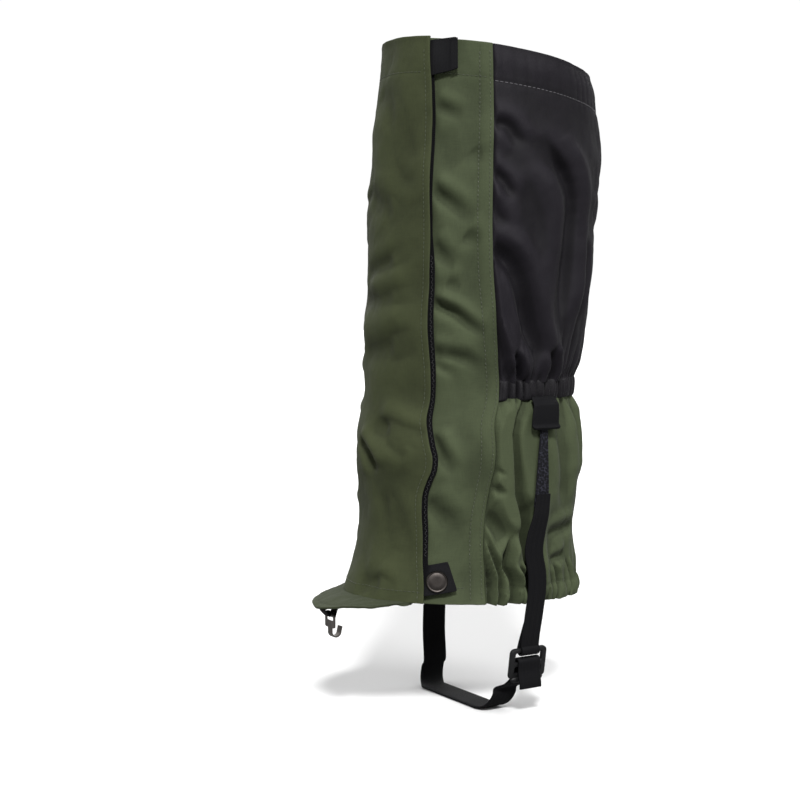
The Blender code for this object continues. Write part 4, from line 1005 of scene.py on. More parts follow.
# Each woven look below paints shade into its fold valleys and a highlight, together with wear, onto its crests and
# turned edges; its valley and crest factors set how strong.
flap_look = woven("green_twill_flap", FLAP_GREEN_WITH_SHADE, 0.80, 0.03, True, specular=0.18)
green_look = woven("green_twill", GREEN_SIDE, 0.80, 0.03, True, specular=0.18)
heel_look = woven("green_twill_heel", GREEN_SIDE, 0.80, 0.03, True, specular=0.18, valley_shade=0.12, reach=(0.20, 0.92))
peak_look = woven("green_twill_peak", GREEN_PEAK, 0.80, 0.03, True, specular=0.18)
black_look = woven("black_cloth", BLACK, 0.62, 0.02, False, pitch=0.55, specular=0.20, crest_highlight_and_wear=2.1, valley_shade=0.12,
                   reach=(0.22, 0.84))
band_look = woven("black_cloth_gathered", (0.0056, 0.0048, 0.0064), 0.55, 0.02, False, pitch=0.55, specular=0.22,
                  crest_highlight_and_wear=2.0, valley_shade=0.25)
webbing_look = webbing("black_webbing", (0.0030, 0.0030, 0.0037), 0.66)
fine_webbing_look = webbing("black_tab_webbing", (0.0034, 0.0034, 0.0042), 0.68, 0.9, 0.8)
elastic_strip_look = elastic_look("elastic", (0.0040, 0.0041, 0.0058))
hook_look = fuzzy("hook_tape", (0.0050, 0.0050, 0.0060), True)
loop_look = fuzzy("loop_tape", (0.0060, 0.0060, 0.0070), False)
cord_look = webbing("braided_cord", (0.0120, 0.0120, 0.0135), 0.70, 0.8, 0.7)
plastic_look = moulded("black_plastic", (0.0062, 0.0062, 0.0068), 0.50)
cap_look = plated("gunmetal_cap", (0.050, 0.044, 0.041), 0.40)
metal_look = plated("gunmetal", (0.150, 0.135, 0.125), 0.34)
green_thread = thread("green_thread", (0.048, 0.058, 0.032))
grey_thread = thread("grey_thread", (0.110, 0.105, 0.115))
tape_thread = thread("tape_thread", (0.030, 0.029, 0.032))

# ---------------------------------------------------------------- camera, light and floor
scene = bpy.context.scene
AZIMUTH, DISTANCE, EYE = math.radians(55.0), 1.14, 0.294
PITCH, YAW = math.radians(4.0), math.radians(3.0)
FOCAL = 1580.0 / 800.0 * 36.0
level_ahead = Vector((-math.sin(AZIMUTH), math.cos(AZIMUTH), 0.0))
level_right = Vector((math.cos(AZIMUTH), math.sin(AZIMUTH), 0.0))
ahead = level_ahead * math.cos(YAW) - level_right * math.sin(YAW)
right = level_right * math.cos(YAW) + level_ahead * math.sin(YAW)
forward = ahead * math.cos(PITCH) - Vector((0.0, 0.0, 1.0)) * math.sin(PITCH)
above = Vector((0.0, 0.0, 1.0)) * math.cos(PITCH) + ahead * math.sin(PITCH)
camera = link_new("camera", bpy.data.cameras.new("camera"))
eye = Vector((DISTANCE * math.sin(AZIMUTH), -DISTANCE * math.cos(AZIMUTH), EYE))
camera.matrix_world = axes_matrix(right, above, -forward, eye)
camera.data.lens = FOCAL
camera.data.clip_start = 0.05
scene.camera = camera


def cast_or_shown(tree, cast, shown, socket):
    """Sets a socket to one value where it lights the object, and to another where the camera sees it."""
    seen = tree.nodes.new("ShaderNodeLightPath")
    span = tree.nodes.new("ShaderNodeMapRange")
    span.inputs["To Min"].default_value = cast
    span.inputs["To Max"].default_value = shown
    tree.links.new(seen.outputs["Is Camera Ray"], span.inputs["Value"])
    tree.links.new(span.outputs[0], socket)


FLOOR_LEVEL, FLOOR_HALF = -0.0006, 9.0
floor = link_new("floor", new_mesh([(x * FLOOR_HALF, y * FLOOR_HALF, FLOOR_LEVEL)
                                    for x, y in ((-1, -1), (1, -1), (1, 1), (-1, 1))], [(0, 1, 2, 3)]))
floor_look = bpy.data.materials.new("floor")
floor_look.use_nodes = True
floor_shader = floor_look.node_tree.nodes["Principled BSDF"]
cast_or_shown(floor_look.node_tree, 0.24, 0.86, floor_shader.inputs["Base Color"])
floor_shader.inputs["Roughness"].default_value = 0.9
floor.data.materials.append(floor_look)

world = bpy.data.worlds.new("studio")
scene.world = world
world.use_nodes = True
background = world.node_tree.nodes["Background"]
cast_or_shown(world.node_tree, 0.18, 1.02, background.inputs["Strength"])
background.inputs[0].default_value = (1.0, 1.0, 1.0, 1.0)


def sun(name, azimuth, elevation, softness, power):
    """Soft even light from far off, so that the floor is as pale far away as near by."""
    lamp = link_new(name, bpy.data.lights.new(name, "SUN"))
    lamp.data.angle = math.radians(softness)
    lamp.data.energy = power
    turn, lift = math.radians(azimuth), math.radians(elevation)
    source = Vector((math.sin(turn) * math.cos(lift), -math.cos(turn) * math.cos(lift), math.sin(lift)))
    lamp.rotation_euler = (-source).to_track_quat("-Z", "Y").to_euler()


sun("key", 60.0, 46.0, 11.0, 3.3)
sun("right", 118.0, 42.0, 40.0, 1.35)
sun("fill", 0.0, 35.0, 60.0, 0.25)
sun("back", 235.0, 42.0, 60.0, 1.5)
sun("left", 290.0, 36.0, 60.0, 0.9)

# ---------------------------------------------------------------- drawcord, its eyelets and the cord lock
def lock_frame():
    """Matrix of the cord lock: X along its barrel, Y up the strands, Z away from the leg."""
    def at(height):
        point, normal = wrap(CORD_STATION, height)
        return Vector(point + normal * LOCK_STAND)

    up = (at(LOCK_HEIGHT + 0.012) - at(LOCK_HEIGHT - 0.030)).normalized()
    sweep_points = wrap(np.array([CORD_STATION + 1.0, CORD_STATION - 1.0]), LOCK_HEIGHT)[0]
    along = Vector(sweep_points[0] - sweep_points[1]).normalized()
    out = along.cross(up).normalized()
    up = out.cross(along)
    place = at(LOCK_HEIGHT)
    return axes_matrix(along, up, out, place)


def arc(radius, start, end, count):
    angles = np.radians(np.linspace(start, end, count))
    return [(radius * math.cos(angle), radius * math.sin(angle)) for angle in angles]


def eyelet_frame(side):
    theta = CORD_STATION + side * EYELET_HALF_ANGLE
    return wrap_frame(theta, float(rim(theta)) - EYELET_DROP)


def half_loop(side):
    """One side of the drawcord's loop, from its eyelet down through the lock."""
    lock = lock_frame()
    eyelet = eyelet_frame(side)
    straight = LOCK_STAND - CORD_BEND
    leaving = [(0.0, -0.0012), (0.0, 0.0010), (0.0, straight)]
    leaving += [(drop - CORD_BEND, straight + out) for out, drop in arc(CORD_BEND, 67.5, 0.0, 4)]
    hanging = ((STRAND_HALF, 0.0085), (STRAND_HALF, 0.0), (STRAND_HALF, -0.0110), (STRAND_HALF, -0.0210),
               (0.0025, -0.0290), (0.0043, -0.0390))
    turning = [(across, LOOP_CENTRE + along) for across, along in arc(CORD_BEND, 15.0, -75.0, 7)]
    return ([eyelet @ Vector((0.0, along, out)) for along, out in leaving]
            + [lock @ Vector((side * across, along, 0.0)) for across, along in (*hanging, *turning)])


lock_place = lock_frame()
loop_bottom = lock_place @ Vector((0.0, LOOP_CENTRE - CORD_BEND, 0.0))
loop_points = smooth_path(half_loop(-1) + [loop_bottom] + list(reversed(half_loop(1))), 52)


def tube_mesh(points, radius, sides=14):
    """Round tube along points, turned as little as possible from ring to ring."""
    rings = []
    off = Vector((1.0, 0.0, 0.0))
    for point, step in zip(points, np.gradient(points, axis=0)):
        ahead_here = Vector(step).normalized()
        off = (off - ahead_here * off.dot(ahead_here)).normalized()
        side_here = ahead_here.cross(off)
        rings.append([Vector(point) + radius * (math.cos(turn) * off + math.sin(turn) * side_here)
                      for turn in around(sides)])
    return loft_mesh(rings, 80.0)


cord_path = smooth_path(loop_points, 160)
drawcord = add_object("drawcord_braid", tube_mesh(cord_path, CORD_RADIUS), "wrap", cord_look, "drawcord_loop")


def dress(look, *nodes):
    """Gives CAD nodes that stay in view their finished material."""
    for node in nodes:
        for place in bpy.data.objects[node].material_slots:
            place.link = "OBJECT"
            place.material = look


def finished_mesh(made):
    """An object's mesh with its modifiers and bevels applied."""
    bpy.context.view_layer.update()
    return bpy.data.meshes.new_from_object(made.evaluated_get(bpy.context.evaluated_depsgraph_get()))


def carve(made, *cutters):
    """Cuts the cutters out of a mesh for good."""
    for cutter in cutters:
        step = made.modifiers.new(cutter.name, "BOOLEAN")
        step.operation = "DIFFERENCE"
        step.solver = "EXACT"
        step.object = cutter
    result = finished_mesh(made)
    made.modifiers.clear()
    made.data = result
    for cutter in cutters:
        bpy.data.objects.remove(cutter, do_unlink=True)


def plate_mesh(outlines, thickness, round_off, place):
    """Flat plate with rounded edges, from closed outlines in its local XY plane."""
    curve = bpy.data.curves.new("plate", "CURVE")
    curve.dimensions = "2D"
    curve.fill_mode = "BOTH"
    curve.extrude = thickness / 2 - round_off
    curve.bevel_depth = round_off
    curve.bevel_resolution = 3
    curve.offset = -round_off
    for outline in outlines:
        spline = curve.splines.new("POLY")
        spline.points.add(len(outline) - 1)
        for point, (across, along) in zip(spline.points, outline):
            point.co = (across, along, 0.0, 1.0)
        spline.use_cyclic_u = True
    made = link_new("plate", curve)
    made.matrix_world = place
    mesh = finished_mesh(made)
    bpy.data.objects.remove(made, do_unlink=True)
    outward(mesh, 0.00001)
    mesh.transform(place)
    shade(mesh, 40.0)
    return mesh


def rounded_box(half_width, half_height, radius, corner_steps=6, centre=(0.0, 0.0)):
    points = []
    for quarter, (sign_x, sign_y) in enumerate(((1, 1), (-1, 1), (-1, -1), (1, -1))):
        for step in range(corner_steps + 1):
            angle = math.radians(90.0 * (quarter + step / corner_steps))
            points.append((centre[0] + sign_x * (half_width - radius) + radius * math.cos(angle),
                           centre[1] + sign_y * (half_height - radius) + radius * math.sin(angle)))
    return points


# cord lock: barrel with a slot for the strands, and a button on a spring
lock_axis = lock_place @ Matrix.Rotation(math.radians(90.0), 4, "Y")
barrel_profile = [(0.0047, 0.0100), (0.0051, 0.0103), (0.0056, 0.0103), (0.0062, 0.0099), (0.0064, 0.0092),
                  (0.0064, 0.0074), (0.0060, 0.0071), (0.0060, 0.0066), (0.0064, 0.0063), (0.0064, -0.0078),
                  (0.0062, -0.0090), (0.0056, -0.0098), (0.0046, -0.0100), (0.0, -0.0100), (0.0, -0.0088),
                  (0.0047, -0.0088)]
button_profile = [(0.0, 0.0140), (0.0018, 0.01395), (0.0032, 0.0138), (0.0040, 0.0134), (0.0043, 0.0127),
                  (0.0043, -0.0043), (0.0, -0.0043)]
STRAND_CLEAR, BUTTON_TRAVEL = 0.0004, 0.0020


def strand_slot(name, first, last):
    """Cutter for the slot that the cord's two strands run through."""
    outline = rounded_box((last - first) / 2, CORD_RADIUS + STRAND_CLEAR, 0.0016, 6, ((first + last) / 2, 0.0))
    place = lock_place @ Matrix.Rotation(math.radians(90.0), 4, "X")
    return link_new(name, plate_mesh([outline], 0.0200, 0.0001, place))


strand_room = STRAND_HALF + CORD_RADIUS + STRAND_CLEAR
barrel = add_object("lock_barrel", lathe_mesh(barrel_profile, lock_axis), "cord_lock", plastic_look,
                    "cord_lock_barrel")
carve(barrel, strand_slot("barrel_slot", -strand_room, strand_room))
button = add_object("lock_button", lathe_mesh(button_profile, lock_axis, 48), "lock_button", plastic_look,
                    "cord_lock_button")
carve(button, strand_slot("button_slot", -strand_room, strand_room + BUTTON_TRAVEL))
# the spring's coil runs from the barrel's floor to the button's foot
COIL_FOOT, COIL_HEAD, COIL_RADIUS, COIL_WIRE, COIL_TURNS = -0.00825, -0.00485, 0.0030, 0.00025, 3.5
coil = []
for share in np.linspace(0.0, 1.0, 141):
    turn = share * COIL_TURNS * 2 * math.pi
    rise = COIL_FOOT + (COIL_HEAD - COIL_FOOT) * share
    coil.append(tuple(lock_axis @ Vector((COIL_RADIUS * math.cos(turn), COIL_RADIUS * math.sin(turn), rise))))
spring = add_object("lock_spring", tube_mesh(np.array(coil), COIL_WIRE, 10), "cord_lock", metal_look,
                    "cord_lock_spring")
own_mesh(spring)
dress(cord_look, "drawcord_outer", "drawcord_inner")
EYELET_PROFILE = ((0.0019, 0.0010), (0.0022, 0.0016), (0.0027, 0.0019), (0.0033, 0.0018), (0.0038, 0.0014),
                  (0.0040, 0.0008), (0.0040, 0.0004), (0.0024, 0.0004), (0.0024, -0.0008), (0.0019, -0.0008))
for name, side in (("eyelet_outer", -1), ("eyelet_inner", 1)):
    add_object(name + "_ring", lathe_mesh(EYELET_PROFILE, eyelet_frame(side)), "wrap", metal_look, name)

# ---------------------------------------------------------------- panels of the wrap
hinge_middle = Vector((HINGE_FOOT + HINGE_HEAD) / 2)
hinge_axis = Vector(HINGE_HEAD - HINGE_FOOT).normalized()
away = Vector((0.62, -0.78, 0.0))
away = (away - hinge_axis * away.dot(hinge_axis)).normalized()
FRONT_BEND = ("wrap", "front", tuple(hinge_middle + away * 0.0020), tuple(hinge_middle + away * 0.0170))
band_top, band_bottom = BAND_MIDDLE + BAND_HEIGHT / 2, BAND_MIDDLE - BAND_HEIGHT / 2


def at_level(height):
    """A level edge of a panel."""
    return lambda theta: height + 0.0 * theta


def past_far_seam(degrees):
    """An edge beyond the inner seam, counted on round the back."""
    return lambda z: 360.0 + inner_seam(z) + degrees


front_panel = cloth_panel("front_panel", lambda z: inner_seam(z) - 3.4, cloth_edge, front_hem,
                          lambda theta: rim(theta) + 0.0010, front_height, 116, 260, FRONT_BEND, flap_look,
                          ("front_flap",), fold=(0, 1, 1, 1))
side = cloth_panel("outer_panel", lambda z: flap_edge(z) - 30.0, lambda z: seam(z) + 0.5, hem, rim, side_height,
                   84, 260, "wrap", green_look, ("side_panel",), fold=(0, 1, 1, 1))
calf = cloth_panel("calf_gathered", lambda z: seam(z) - 2.2, past_far_seam(1.2), at_level(band_top - 0.0015), rim,
                   calf_height, 340, 138, "wrap", black_look, ("calf_panel", "rim_hem"), fold=(0, 1, 0, 1),
                   hem_fold=rim_hem_depth)
heel = cloth_panel("heel_gathered", lambda z: seam(z) - 2.2, past_far_seam(1.2), heel_foot,
                   at_level(band_bottom + 0.0015), heel_height, 410, 114, "wrap", heel_look,
                   ("heel_panel", "lower_hem", "hem_elastic"), fold=(0, 1, 1, 0), hem_fold=lower_hem_depth)
band = cloth_panel("ankle_gathers", lambda z: seam(z) - 1.2, past_far_seam(0.9), at_level(band_bottom - 0.0004),
                   at_level(band_top + 0.0004), band_height, 520, 22, "wrap", band_look,
                   ("ankle_band", "ankle_elastic"), fold=(0, 0, 1, 1), thickness=0.0016)

# ---------------------------------------------------------------- hook-and-loop down the front
def tape_and_gap_shade(z):
    """How far the hook tape shows past the flap's edge, in degrees. Above about 0.335 m the narrow black sliver that
    shows is a dark strip put in as painted shade for the gap under the flap's edge; lower down it is the tape itself.
    """
    return 0.9 + 1.9 * smoothstep(z, 0.335, 0.305) + 0.35 * noise(z / 0.03, 0.5, 21.0)


def hook_height(theta, z):
    return flap_stand(theta) + slump(theta, z) - 0.0017 + 0.00010 * noise(theta / 2.0, z / 0.005, 5.0)


def loop_height(theta, z):
    return slump(theta, z) + 0.0009


loop_piece = cloth_panel("loop_strip", lambda z: flap_edge(z) - 20.0, lambda z: flap_edge(z) - 3.0,
                         at_level(0.1158), lambda theta: rim(theta) - 0.0040, loop_height, 20, 120, "wrap",
                         loop_look, ("loop_tape",), thickness=0.0008)
hook_piece = cloth_panel("hook_strip", lambda z: cloth_edge(z) - 17.0, lambda z: cloth_edge(z) + tape_and_gap_shade(z),
                         at_level(0.0990), lambda theta: rim(theta) - 0.0060, hook_height, 24, 240, "front",
                         hook_look, ("hook_tape",), thickness=0.0008)

# ---------------------------------------------------------------- tabs on the flap's edge
def rounded_edge(distance, reach):
    """Profile of a quarter round: 0 at the edge, 1 from its reach inwards."""
    return np.sqrt(np.clip(1.0 - (1.0 - np.clip(distance / reach, 0, 1)) ** 2, 0, 1))


def tab_mesh(corners, height_of, thickness, pull=0.10):
    """Four-cornered cloth tab on the wrap with rounded corners: corners run outwards round it."""
    s, t = [np.sin(np.linspace(-1.0, 1.0, count) * math.pi / 2) for count in (35, 45)]
    s, t = np.broadcast_arrays(s[None, :], t[:, None])
    s, t = s * (1.0 - pull * np.abs(t) ** 9), t * (1.0 - pull * np.abs(s) ** 9)
    low_left, low_right, high_right, high_left = [np.array(corner) for corner in corners]
    u, v = ((s + 1) / 2)[..., None], ((t + 1) / 2)[..., None]
    place = (low_left * (1 - u) + low_right * u) * (1 - v) + (high_left * (1 - u) + high_right * u) * v
    theta, level = place[..., 0], place[..., 1]
    base, normal = wrap(theta, level)
    edge = np.minimum(1.0 - np.abs(s), 1.0 - np.abs(t))
    drop = thickness * 0.45 * (1.0 - rounded_edge(edge, 0.035))
    height = height_of(theta, level)
    outer = base + normal * (height - drop)[..., None]
    inner = base + normal * (height - thickness + drop)[..., None]
    flat = np.stack([along_cloth(theta), level], -1)
    return shell_mesh(outer, inner, flat, np.full(theta.shape, 0.5))


def rim_tab_height(theta, z):
    return (0.0020 + 0.0018 * smoothstep(theta, 27.5, 31.5) + slump(theta, z)
            + 0.0004 * np.sin((z - 0.4360) / 0.0280 * math.pi))


def snap_tab_height(theta, z):
    away_from_cap = np.hypot(along_cloth(theta - SNAP_THETA), z - SNAP_HEIGHT)
    return (0.0020 + 0.0022 * smoothstep(theta, 42.0, 45.5) + slump(theta, z)
            - 0.0003 * smoothstep(away_from_cap, 0.0085, 0.0130))


def bend_at(theta, height, root, tip):
    """Two points across a tab's fold line: just before and just after it."""
    start, end = [Vector(wrap(theta + step, height)[0]) for step in (root, tip)]
    return tuple(start), tuple(end)


RIM_BEND = ("front", "rim_tab", *bend_at(29.8, 0.449, -1.2, 2.6))
SNAP_BEND = ("front", "snap_tab", *bend_at(43.8, 0.0967, -1.2, 2.2))
TABS = (
    ("rim_tab_webbing", ((27.3, 0.4362), (43.4, 0.4405), (43.0, 0.4626), (27.3, 0.4610)), rim_tab_height, 0.0014,
     0.03, RIM_BEND, fine_webbing_look, "rim_tab"),
    ("rim_tab_fold", ((40.6, 0.4397), (44.2, 0.4412), (43.8, 0.4618), (40.2, 0.4622)),
     lambda theta, z: rim_tab_height(theta, z) + 0.0010, 0.0010, 0.02, "rim_tab", fine_webbing_look),
    ("rim_tab_hooks", ((32.6, 0.4400), (40.0, 0.4420), (40.0, 0.4590), (32.6, 0.4590)),
     lambda theta, z: 0.0022 + slump(theta, z), 0.0008, 0.10, "rim_tab", hook_look, "rim_hook_pad"),
    ("rim_loops", ((32.0, 0.4385), (40.6, 0.4405), (40.4, 0.4600), (32.0, 0.4600)),
     lambda theta, z: 0.0010 + slump(theta, z), 0.0008, 0.10, "wrap", loop_look, "rim_loop_patch"),
    ("snap_tab_cloth", ((41.8, 0.0866), (60.2, 0.0906), (53.6, 0.1102), (41.8, 0.1072)), snap_tab_height, 0.0012,
     0.035, SNAP_BEND, fine_webbing_look, "snap_tab"),
)
for name, corners, height_of, thickness, pull, body, look, *nodes in TABS:
    add_object(name, tab_mesh(corners, height_of, thickness, pull), body, look, *nodes)
CAP_SEAT = 0.0044
CAP_PROFILE = ((0.0, 0.0020), (0.0030, 0.0020), (0.0055, 0.00195), (0.0059, 0.0018), (0.0061, 0.0018),
               (0.0064, 0.0020), (0.0068, 0.0020), (0.0072, 0.0016), (0.0075, 0.0010), (0.0076, 0.0005),
               (0.0073, 0.0), (0.0, 0.0))
add_object("snap_cap_disc", lathe_mesh([(radius, CAP_SEAT + rise) for radius, rise in CAP_PROFILE],
                                       wrap_frame(SNAP_THETA, SNAP_HEIGHT), 96), "snap_tab", cap_look, "snap_cap")
dress(metal_look, "snap_socket", "snap_stud", "snap_post", "lace_hook")

# ---------------------------------------------------------------- peak over the toe, with its lace tab
def peak_root(theta):
    point, normal = wrap(theta, front_hem(theta) + 0.0010)
    return point + normal * (flap_stand(theta) - 0.0016)[..., None]


def peak_point(theta, share):
    """Point on the peak: share 0 at the front panel's hem, 1 at its free edge."""
    theta, share = grid(theta, share)
    angle = np.radians(theta)
    reach = np.maximum(np.cos(np.radians((theta + 6.0) * 90.0 / 47.0)), 0.0) ** 0.95
    out = unit(np.stack([np.sin(angle) * 0.55, -np.ones_like(angle), np.zeros_like(angle)], -1))
    forward = 0.0265 * reach + 0.0012
    fall = (0.0072 * reach + 0.0010) * (1.0 - 0.45 * smoothstep(theta, -5.0, 25.0))
    point = peak_root(theta) + out * (forward * share)[..., None]
    wrinkle = 0.0007 * noise(theta / 9.0, share * 2.0, 31.0) + 0.0003 * noise(theta / 3.0, share * 4.0, 32.0)
    point[..., 2] += -fall * (0.35 * share + 0.65 * share ** 2) - 0.0004 + wrinkle * smoothstep(share, 0.05, 0.3)
    return point


def peak_mesh():
    theta, share = np.meshgrid(-46.0 + 86.0 * spread(110, 1, 1, 0.0045), spread(30, 0, 1, 0.012))
    outer = peak_point(theta, share)
    normal = unit(np.cross(np.gradient(outer, axis=1), -np.gradient(outer, axis=0)))
    edge = np.minimum(1.0 - share, 1.0)
    tip = rounded_edge(edge, 0.03)
    lift = 0.0006 * bell(edge, 0.10) - 0.0003 * bell(edge - 0.17, 0.020) - 0.0006 * (1.0 - tip)
    outer = outer + normal * lift[..., None]
    thick = 0.0008 + 0.0010 * bell(edge, 0.14, 4) - 0.0010 * (1.0 - tip)
    inner = outer - normal * np.maximum(thick, 0.0001)[..., None]
    flat = np.stack([along_cloth(theta), 0.030 * share], -1)
    # The relief number follows the edge's lift: the raised hem gets a painted highlight, and the dip behind it and
    # the rounded lip get painted shade.
    return shell_mesh(outer, inner, flat, np.clip(0.5 + lift / 0.0012, 0.0, 1.0))


peak_piece = add_object("toe_peak", peak_mesh(), FRONT_BEND, peak_look, "peak")

LACE_EYE, LACE_UNDER = 0.0022, -0.0021      # webbing's radius round the hook's bar, and its drop under the peak


def lace_route():
    """Webbing under the peak: forward along it, down round the hook's bar, and back up on itself."""
    front, back = [Vector(peak_point(0.0, share)) for share in (0.93, 0.55)]
    rows = [(back.y, back.z + LACE_UNDER - 0.0004),
            ((back.y + front.y) / 2, (back.z + front.z) / 2 + LACE_UNDER - 0.0003),
            (front.y, front.z + LACE_UNDER)]
    rows += [(LACE_BAR.y - along, LACE_BAR.z + up) for up, along in arc(LACE_EYE, 100.0, -130.0, 11)]
    rows.append((back.y, back.z + LACE_UNDER - 0.0022))
    return [Vector((0.0, along, height)) for along, height in rows]


add_object("lace_tab_webbing", webbing_mesh(smooth_path(lace_route(), 60), [0.0080] * 60, 0.0009, (1.0, 0.0, 0.0)),
           "front", fine_webbing_look, "lace_tab")

# ---------------------------------------------------------------- webbing tabs under the ankle band
def tab_ply(side_sign, drop, trim):
    """One ply of a webbing tab under the ankle band: its foot is rolled, and its head leans in under the band."""
    top, low = 0.2208, 0.1985
    rings = []
    for share in np.linspace(0.0, 1.0, 34):
        left = -0.0104 + 0.0030 * share ** 2.5 + 0.0026 * max(0.0, 1.0 - share / 0.12) ** 2 + trim
        right = 0.0124 + 0.0009 * bell(share - 0.08, 0.07)
        out = 0.0020 + 0.0009 * bell(share - 0.06, 0.06) + 0.0006 * math.sin(share * math.pi) - drop
        out -= 0.0040 * float(smoothstep(share, 0.74, 1.0))
        thick = 0.0011 + 0.0014 * bell(share - 0.06, 0.055) * (trim == 0.0)
        rings.append([Vector((side_sign * (STRAP_X + out + y), (left + right) / 2 + x, low + (top - low) * share))
                      for x, y in strap_section(right - left, thick)])
    return rings


for name, sign, node in (("outer_tab_webbing", 1.0, "outer_tab"), ("inner_tab_webbing", -1.0, "inner_tab")):
    add_object(name, loft_mesh(tab_ply(sign, 0.0, 0.0)), "wrap", fine_webbing_look, node)
    add_object(name + "_back", loft_mesh(tab_ply(sign, 0.0046, 0.0034)), "wrap", fine_webbing_look)

# ---------------------------------------------------------------- straps and buckle
strap("elastic_web", [((STRAP_X, 0.0015, 0.2120), 0.0066), ((STRAP_X, 0.0015, 0.2050), 0.0066),
                      ((STRAP_X, 0.0016, 0.1950), 0.0066), ((STRAP_X, 0.0012, 0.1840), 0.0080),
                      ((STRAP_X, 0.0009, 0.1700), 0.0096), ((STRAP_X, 0.0004, 0.1570), 0.0110),
                      ((STRAP_X, -0.0006, 0.1450), 0.0122)],
      0.0015, "foot_loop", elastic_strip_look, ("elastic_strap",), count=110, ripple_size=0.008)
BAR_HALF, BAR_ROUND = 0.0015, 0.0003        # half of a square bar of the buckle, and its corners' allowance
WEB_THICK, WEB_GAP = 0.0014, 0.0001
over = WEB_THICK + 0.0004
bar_clear = BAR_HALF * math.sqrt(2.0) + BAR_ROUND + WEB_THICK / 2 + WEB_GAP
upper = [((STRAP_X + over, 0.0002, 0.1540), 0.0118), ((STRAP_X + over, -0.0006, 0.1475), 0.0124),
         ((STRAP_X + over, -0.0020, 0.1390), 0.0134), ((STRAP_X + 0.0004, -0.0046, 0.1270), 0.0152),
         ((0.0704, -0.0058, 0.1140), 0.0156), ((0.0694, -0.0024, 0.0990), 0.0156),
         ((0.0684, -0.0016, 0.0860), 0.0156), ((0.0672, -0.0034, 0.0680), 0.0156),
         ((0.0663, -0.0048, 0.0560), 0.0152)]
round_bar = [(across, 0.0, up) for across, up in arc(bar_clear, 60.0, -180.0, 13)]
round_bar += [(-bar_clear + 0.0002, 0.0022, 0.0080), (-bar_clear + 0.0014, 0.0046, 0.0180)]
upper += [(tuple(BUCKLE_BAR + Vector(place)), 0.0152) for place in round_bar]
strap("upper_webbing", upper, WEB_THICK, "foot_loop", webbing_look, ("upper_strap",), count=260)

# the buckle's own axes: X across the strap, Y up it, Z away from the boot
buckle_place = (Matrix.Translation(BUCKLE_BAR) @ Matrix.Rotation(BUCKLE_TILT, 4, "Y")
                @ axes_matrix((0.0, 1.0, 0.0), (0.0, 0.0, 1.0), (1.0, 0.0, 0.0), (0.0, 0.0, 0.0)))
BUCKLE_HALF, BUCKLE_SIDE = 0.0152, 0.0040
MIDDLE_BAR, LIP_BAR = (-0.0085, -0.0115), (-0.0165, -0.0205)


def buckle_box(half_width, high, low, radius, corner_steps):
    return rounded_box(half_width, (high - low) / 2, radius, corner_steps, (0.0, (high + low) / 2))


outlines = [buckle_box(BUCKLE_HALF, BAR_HALF, LIP_BAR[1], 0.0034, 8)]
outlines += [buckle_box(BUCKLE_HALF - BUCKLE_SIDE, high, low, 0.0012, 5)[::-1]
             for high, low in ((-BAR_HALF, MIDDLE_BAR[0]), (MIDDLE_BAR[1], LIP_BAR[0]))]
add_object("buckle_frame", plate_mesh(outlines, 2 * BAR_HALF, 0.0008, buckle_place), "buckle", plastic_look,
           "ladder_buckle")
LIP_HALF, LIP_ALONG, LIP_OUT = 0.0136, -0.0208, 0.0010
lip_rings = []
for share in np.linspace(-1.0, 1.0, 40):
    squeeze = max(1.0 - abs(share) ** 14, 0.25)
    thick = 0.0015 + 0.0004 * (1.0 - share ** 6) + 0.00018 * math.sin(share * 48.0)
    lip_rings.append([buckle_place @ Vector((share * LIP_HALF, LIP_ALONG + 0.0022 * squeeze * math.cos(turn),
                                             LIP_OUT + thick * squeeze * math.sin(turn))) for turn in around(20)])
add_object("buckle_lip", loft_mesh(lip_rings, 60.0), "buckle", plastic_look)

# foot strap in one piece: its tail over the buckle's middle bar, under the boot's arch, and up the inner side
tail_reach = BAR_HALF + BAR_ROUND + WEB_THICK / 2 + WEB_GAP
TAIL_WIDTH, FOOT_WIDTH, FOOT_THICK = 0.0186, 0.0200, 0.0016
tail = [(0.0006, -0.0262, tail_reach + 0.0034), (0.0004, -0.0230, tail_reach + 0.0030),
        (0.0, -0.0190, tail_reach + 0.0018), (0.0, -0.0140, tail_reach + 0.0004)]
tail += [(0.0, MIDDLE_BAR[0] + up, out) for up, out in arc(tail_reach, 90.0, -90.0, 7)]
tail += [(0.0, -0.0150, -tail_reach), (-0.0012, -0.0200, -tail_reach)]
foot = [(tuple(buckle_place @ Vector(place)), TAIL_WIDTH) for place in tail]
ARCH_Y, ARCH_HALF, ARCH_TURN, LEVEL = -0.0200, 0.0300, 0.0160, 0.0009
strap_start = buckle_place @ Vector((-0.0030, -0.0240, -0.0026))
centre_x = ARCH_HALF + 0.0040
low_start = Vector((centre_x + ARCH_TURN + 0.0010, strap_start.y - 0.0060, ARCH_TURN + LEVEL))
foot.append((tuple(strap_start.lerp(low_start, 0.3)), 0.0195))


def arch_turn(sign, first, last, y_start, y_end):
    """Turn between the side of the boot and its sole, between two angles and two places along Y."""
    return [(sign * (centre_x + across), y_start + (y_end - y_start) * step / 6, LEVEL + ARCH_TURN - up)
            for step, (across, up) in enumerate(arc(ARCH_TURN, first, last, 7))]


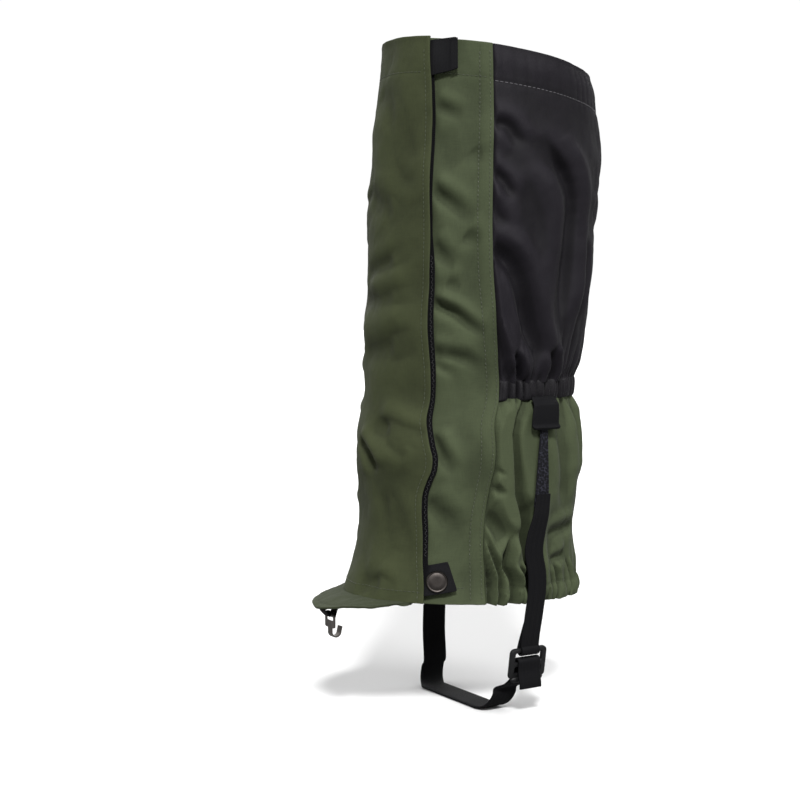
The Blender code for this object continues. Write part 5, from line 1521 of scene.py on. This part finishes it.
arch = arch_turn(1.0, 0.0, 90.0, low_start.y, ARCH_Y)
arch += [(across, ARCH_Y, LEVEL) for across in (ARCH_HALF, 0.0, -ARCH_HALF)]
arch += arch_turn(-1.0, 90.0, 0.0, ARCH_Y, ARCH_Y + 0.0120)
arch += [(-0.0560, -0.0050, 0.0360), (-0.0600, -0.0020, 0.0560)]
foot += [(place, FOOT_WIDTH) for place in arch]
bar_down = buckle_place @ Vector((0.0, -0.0380, 0.0))
FOOT_BEND = ("foot_loop", "buckle", tuple(bar_down), tuple(bar_down + Vector((0.0100, 0.0, 0.0155))))
strap("foot_webbing", foot, FOOT_THICK, FOOT_BEND, webbing_look, ("foot_strap", "strap_tail"), count=340)
lap = FOOT_THICK / 2 + WEB_THICK / 2 + 0.0004
inner = [(-0.0570 - lap, -0.0035, 0.0400), (-0.0602 - lap, -0.0020, 0.0560), (-0.0660, 0.0, 0.0800),
         (-0.0700, 0.0010, 0.1100)] + [(-STRAP_X, 0.0015, height) for height in (0.1400, 0.1900, 0.2120)]
strap("inner_webbing", [(place, 0.0160) for place in inner], WEB_THICK, "foot_loop", webbing_look,
      ("inner_strap",), count=150)

# ---------------------------------------------------------------- stitching
def beside(edge, distance):
    """A line at a distance along the cloth before an edge."""
    return lambda z: edge(z) - distance / ARC * DEGREES


UPRIGHT = (
    ("edge_stitches", beside(cloth_edge, EDGE_LINE), 0.0850, 0.4560, front_height, "front", {}),
    ("seam_topstitch", beside(seam, SEAM_LINE), 0.0830, 0.4540, side_height, "wrap", {"radius": 0.00024}),
    ("seam_edge_stitch", beside(seam, 0.0014), 0.0830, 0.4540, side_height, "wrap", {}),
)
for name, azimuth, low, high, height_of, body, style in UPRIGHT:
    stitch_up(name, azimuth, low, high, height_of, body, green_thread, **style)
RIM_THREAD = {"radius": 0.00026, "pitch": 0.0034, "length": 0.0027}
LEVEL_ROWS = (
    ("front_hem_stitches", lambda theta: rim(theta) - PANEL_RIM_LINE, -48.0, 26.5, front_height, FRONT_BEND, {}),
    ("side_hem_stitches", lambda theta: rim(theta) - PANEL_RIM_LINE, 31.0, 60.0, side_height, "wrap", {}),
    ("rim_stitches", lambda theta: rim(theta) - CALF_RIM_LINE, 62.5, 303.0, calf_height, "wrap", RIM_THREAD),
    ("hem_stitches", lambda theta: hem(theta) + HEM_BAND, 70.0, 296.0, heel_height, "wrap", {}),
    ("front_foot_stitches", lambda theta: front_hem(theta) + 0.0075, -54.0, 43.0, front_height, FRONT_BEND, {}),
    ("side_foot_stitches", lambda theta: hem(theta) + 0.0110, 47.0, 66.0, side_height, "wrap", {}),
)
for name, level, start, end, height_of, body, style in LEVEL_ROWS:
    stitch_round(name, level, start, end, height_of, body, grey_thread if style else green_thread, **style)
stitch_up("tape_zigzag", lambda z: cloth_edge(z) + tape_and_gap_shade(z) - 1.3, 0.1130, 0.3180, hook_height, "front",
          tape_thread, pitch=0.0018, length=0.0016, radius=0.00018, slant=0.0007)

scene.view_settings.view_transform = "Standard"
scene.view_settings.look = "None"
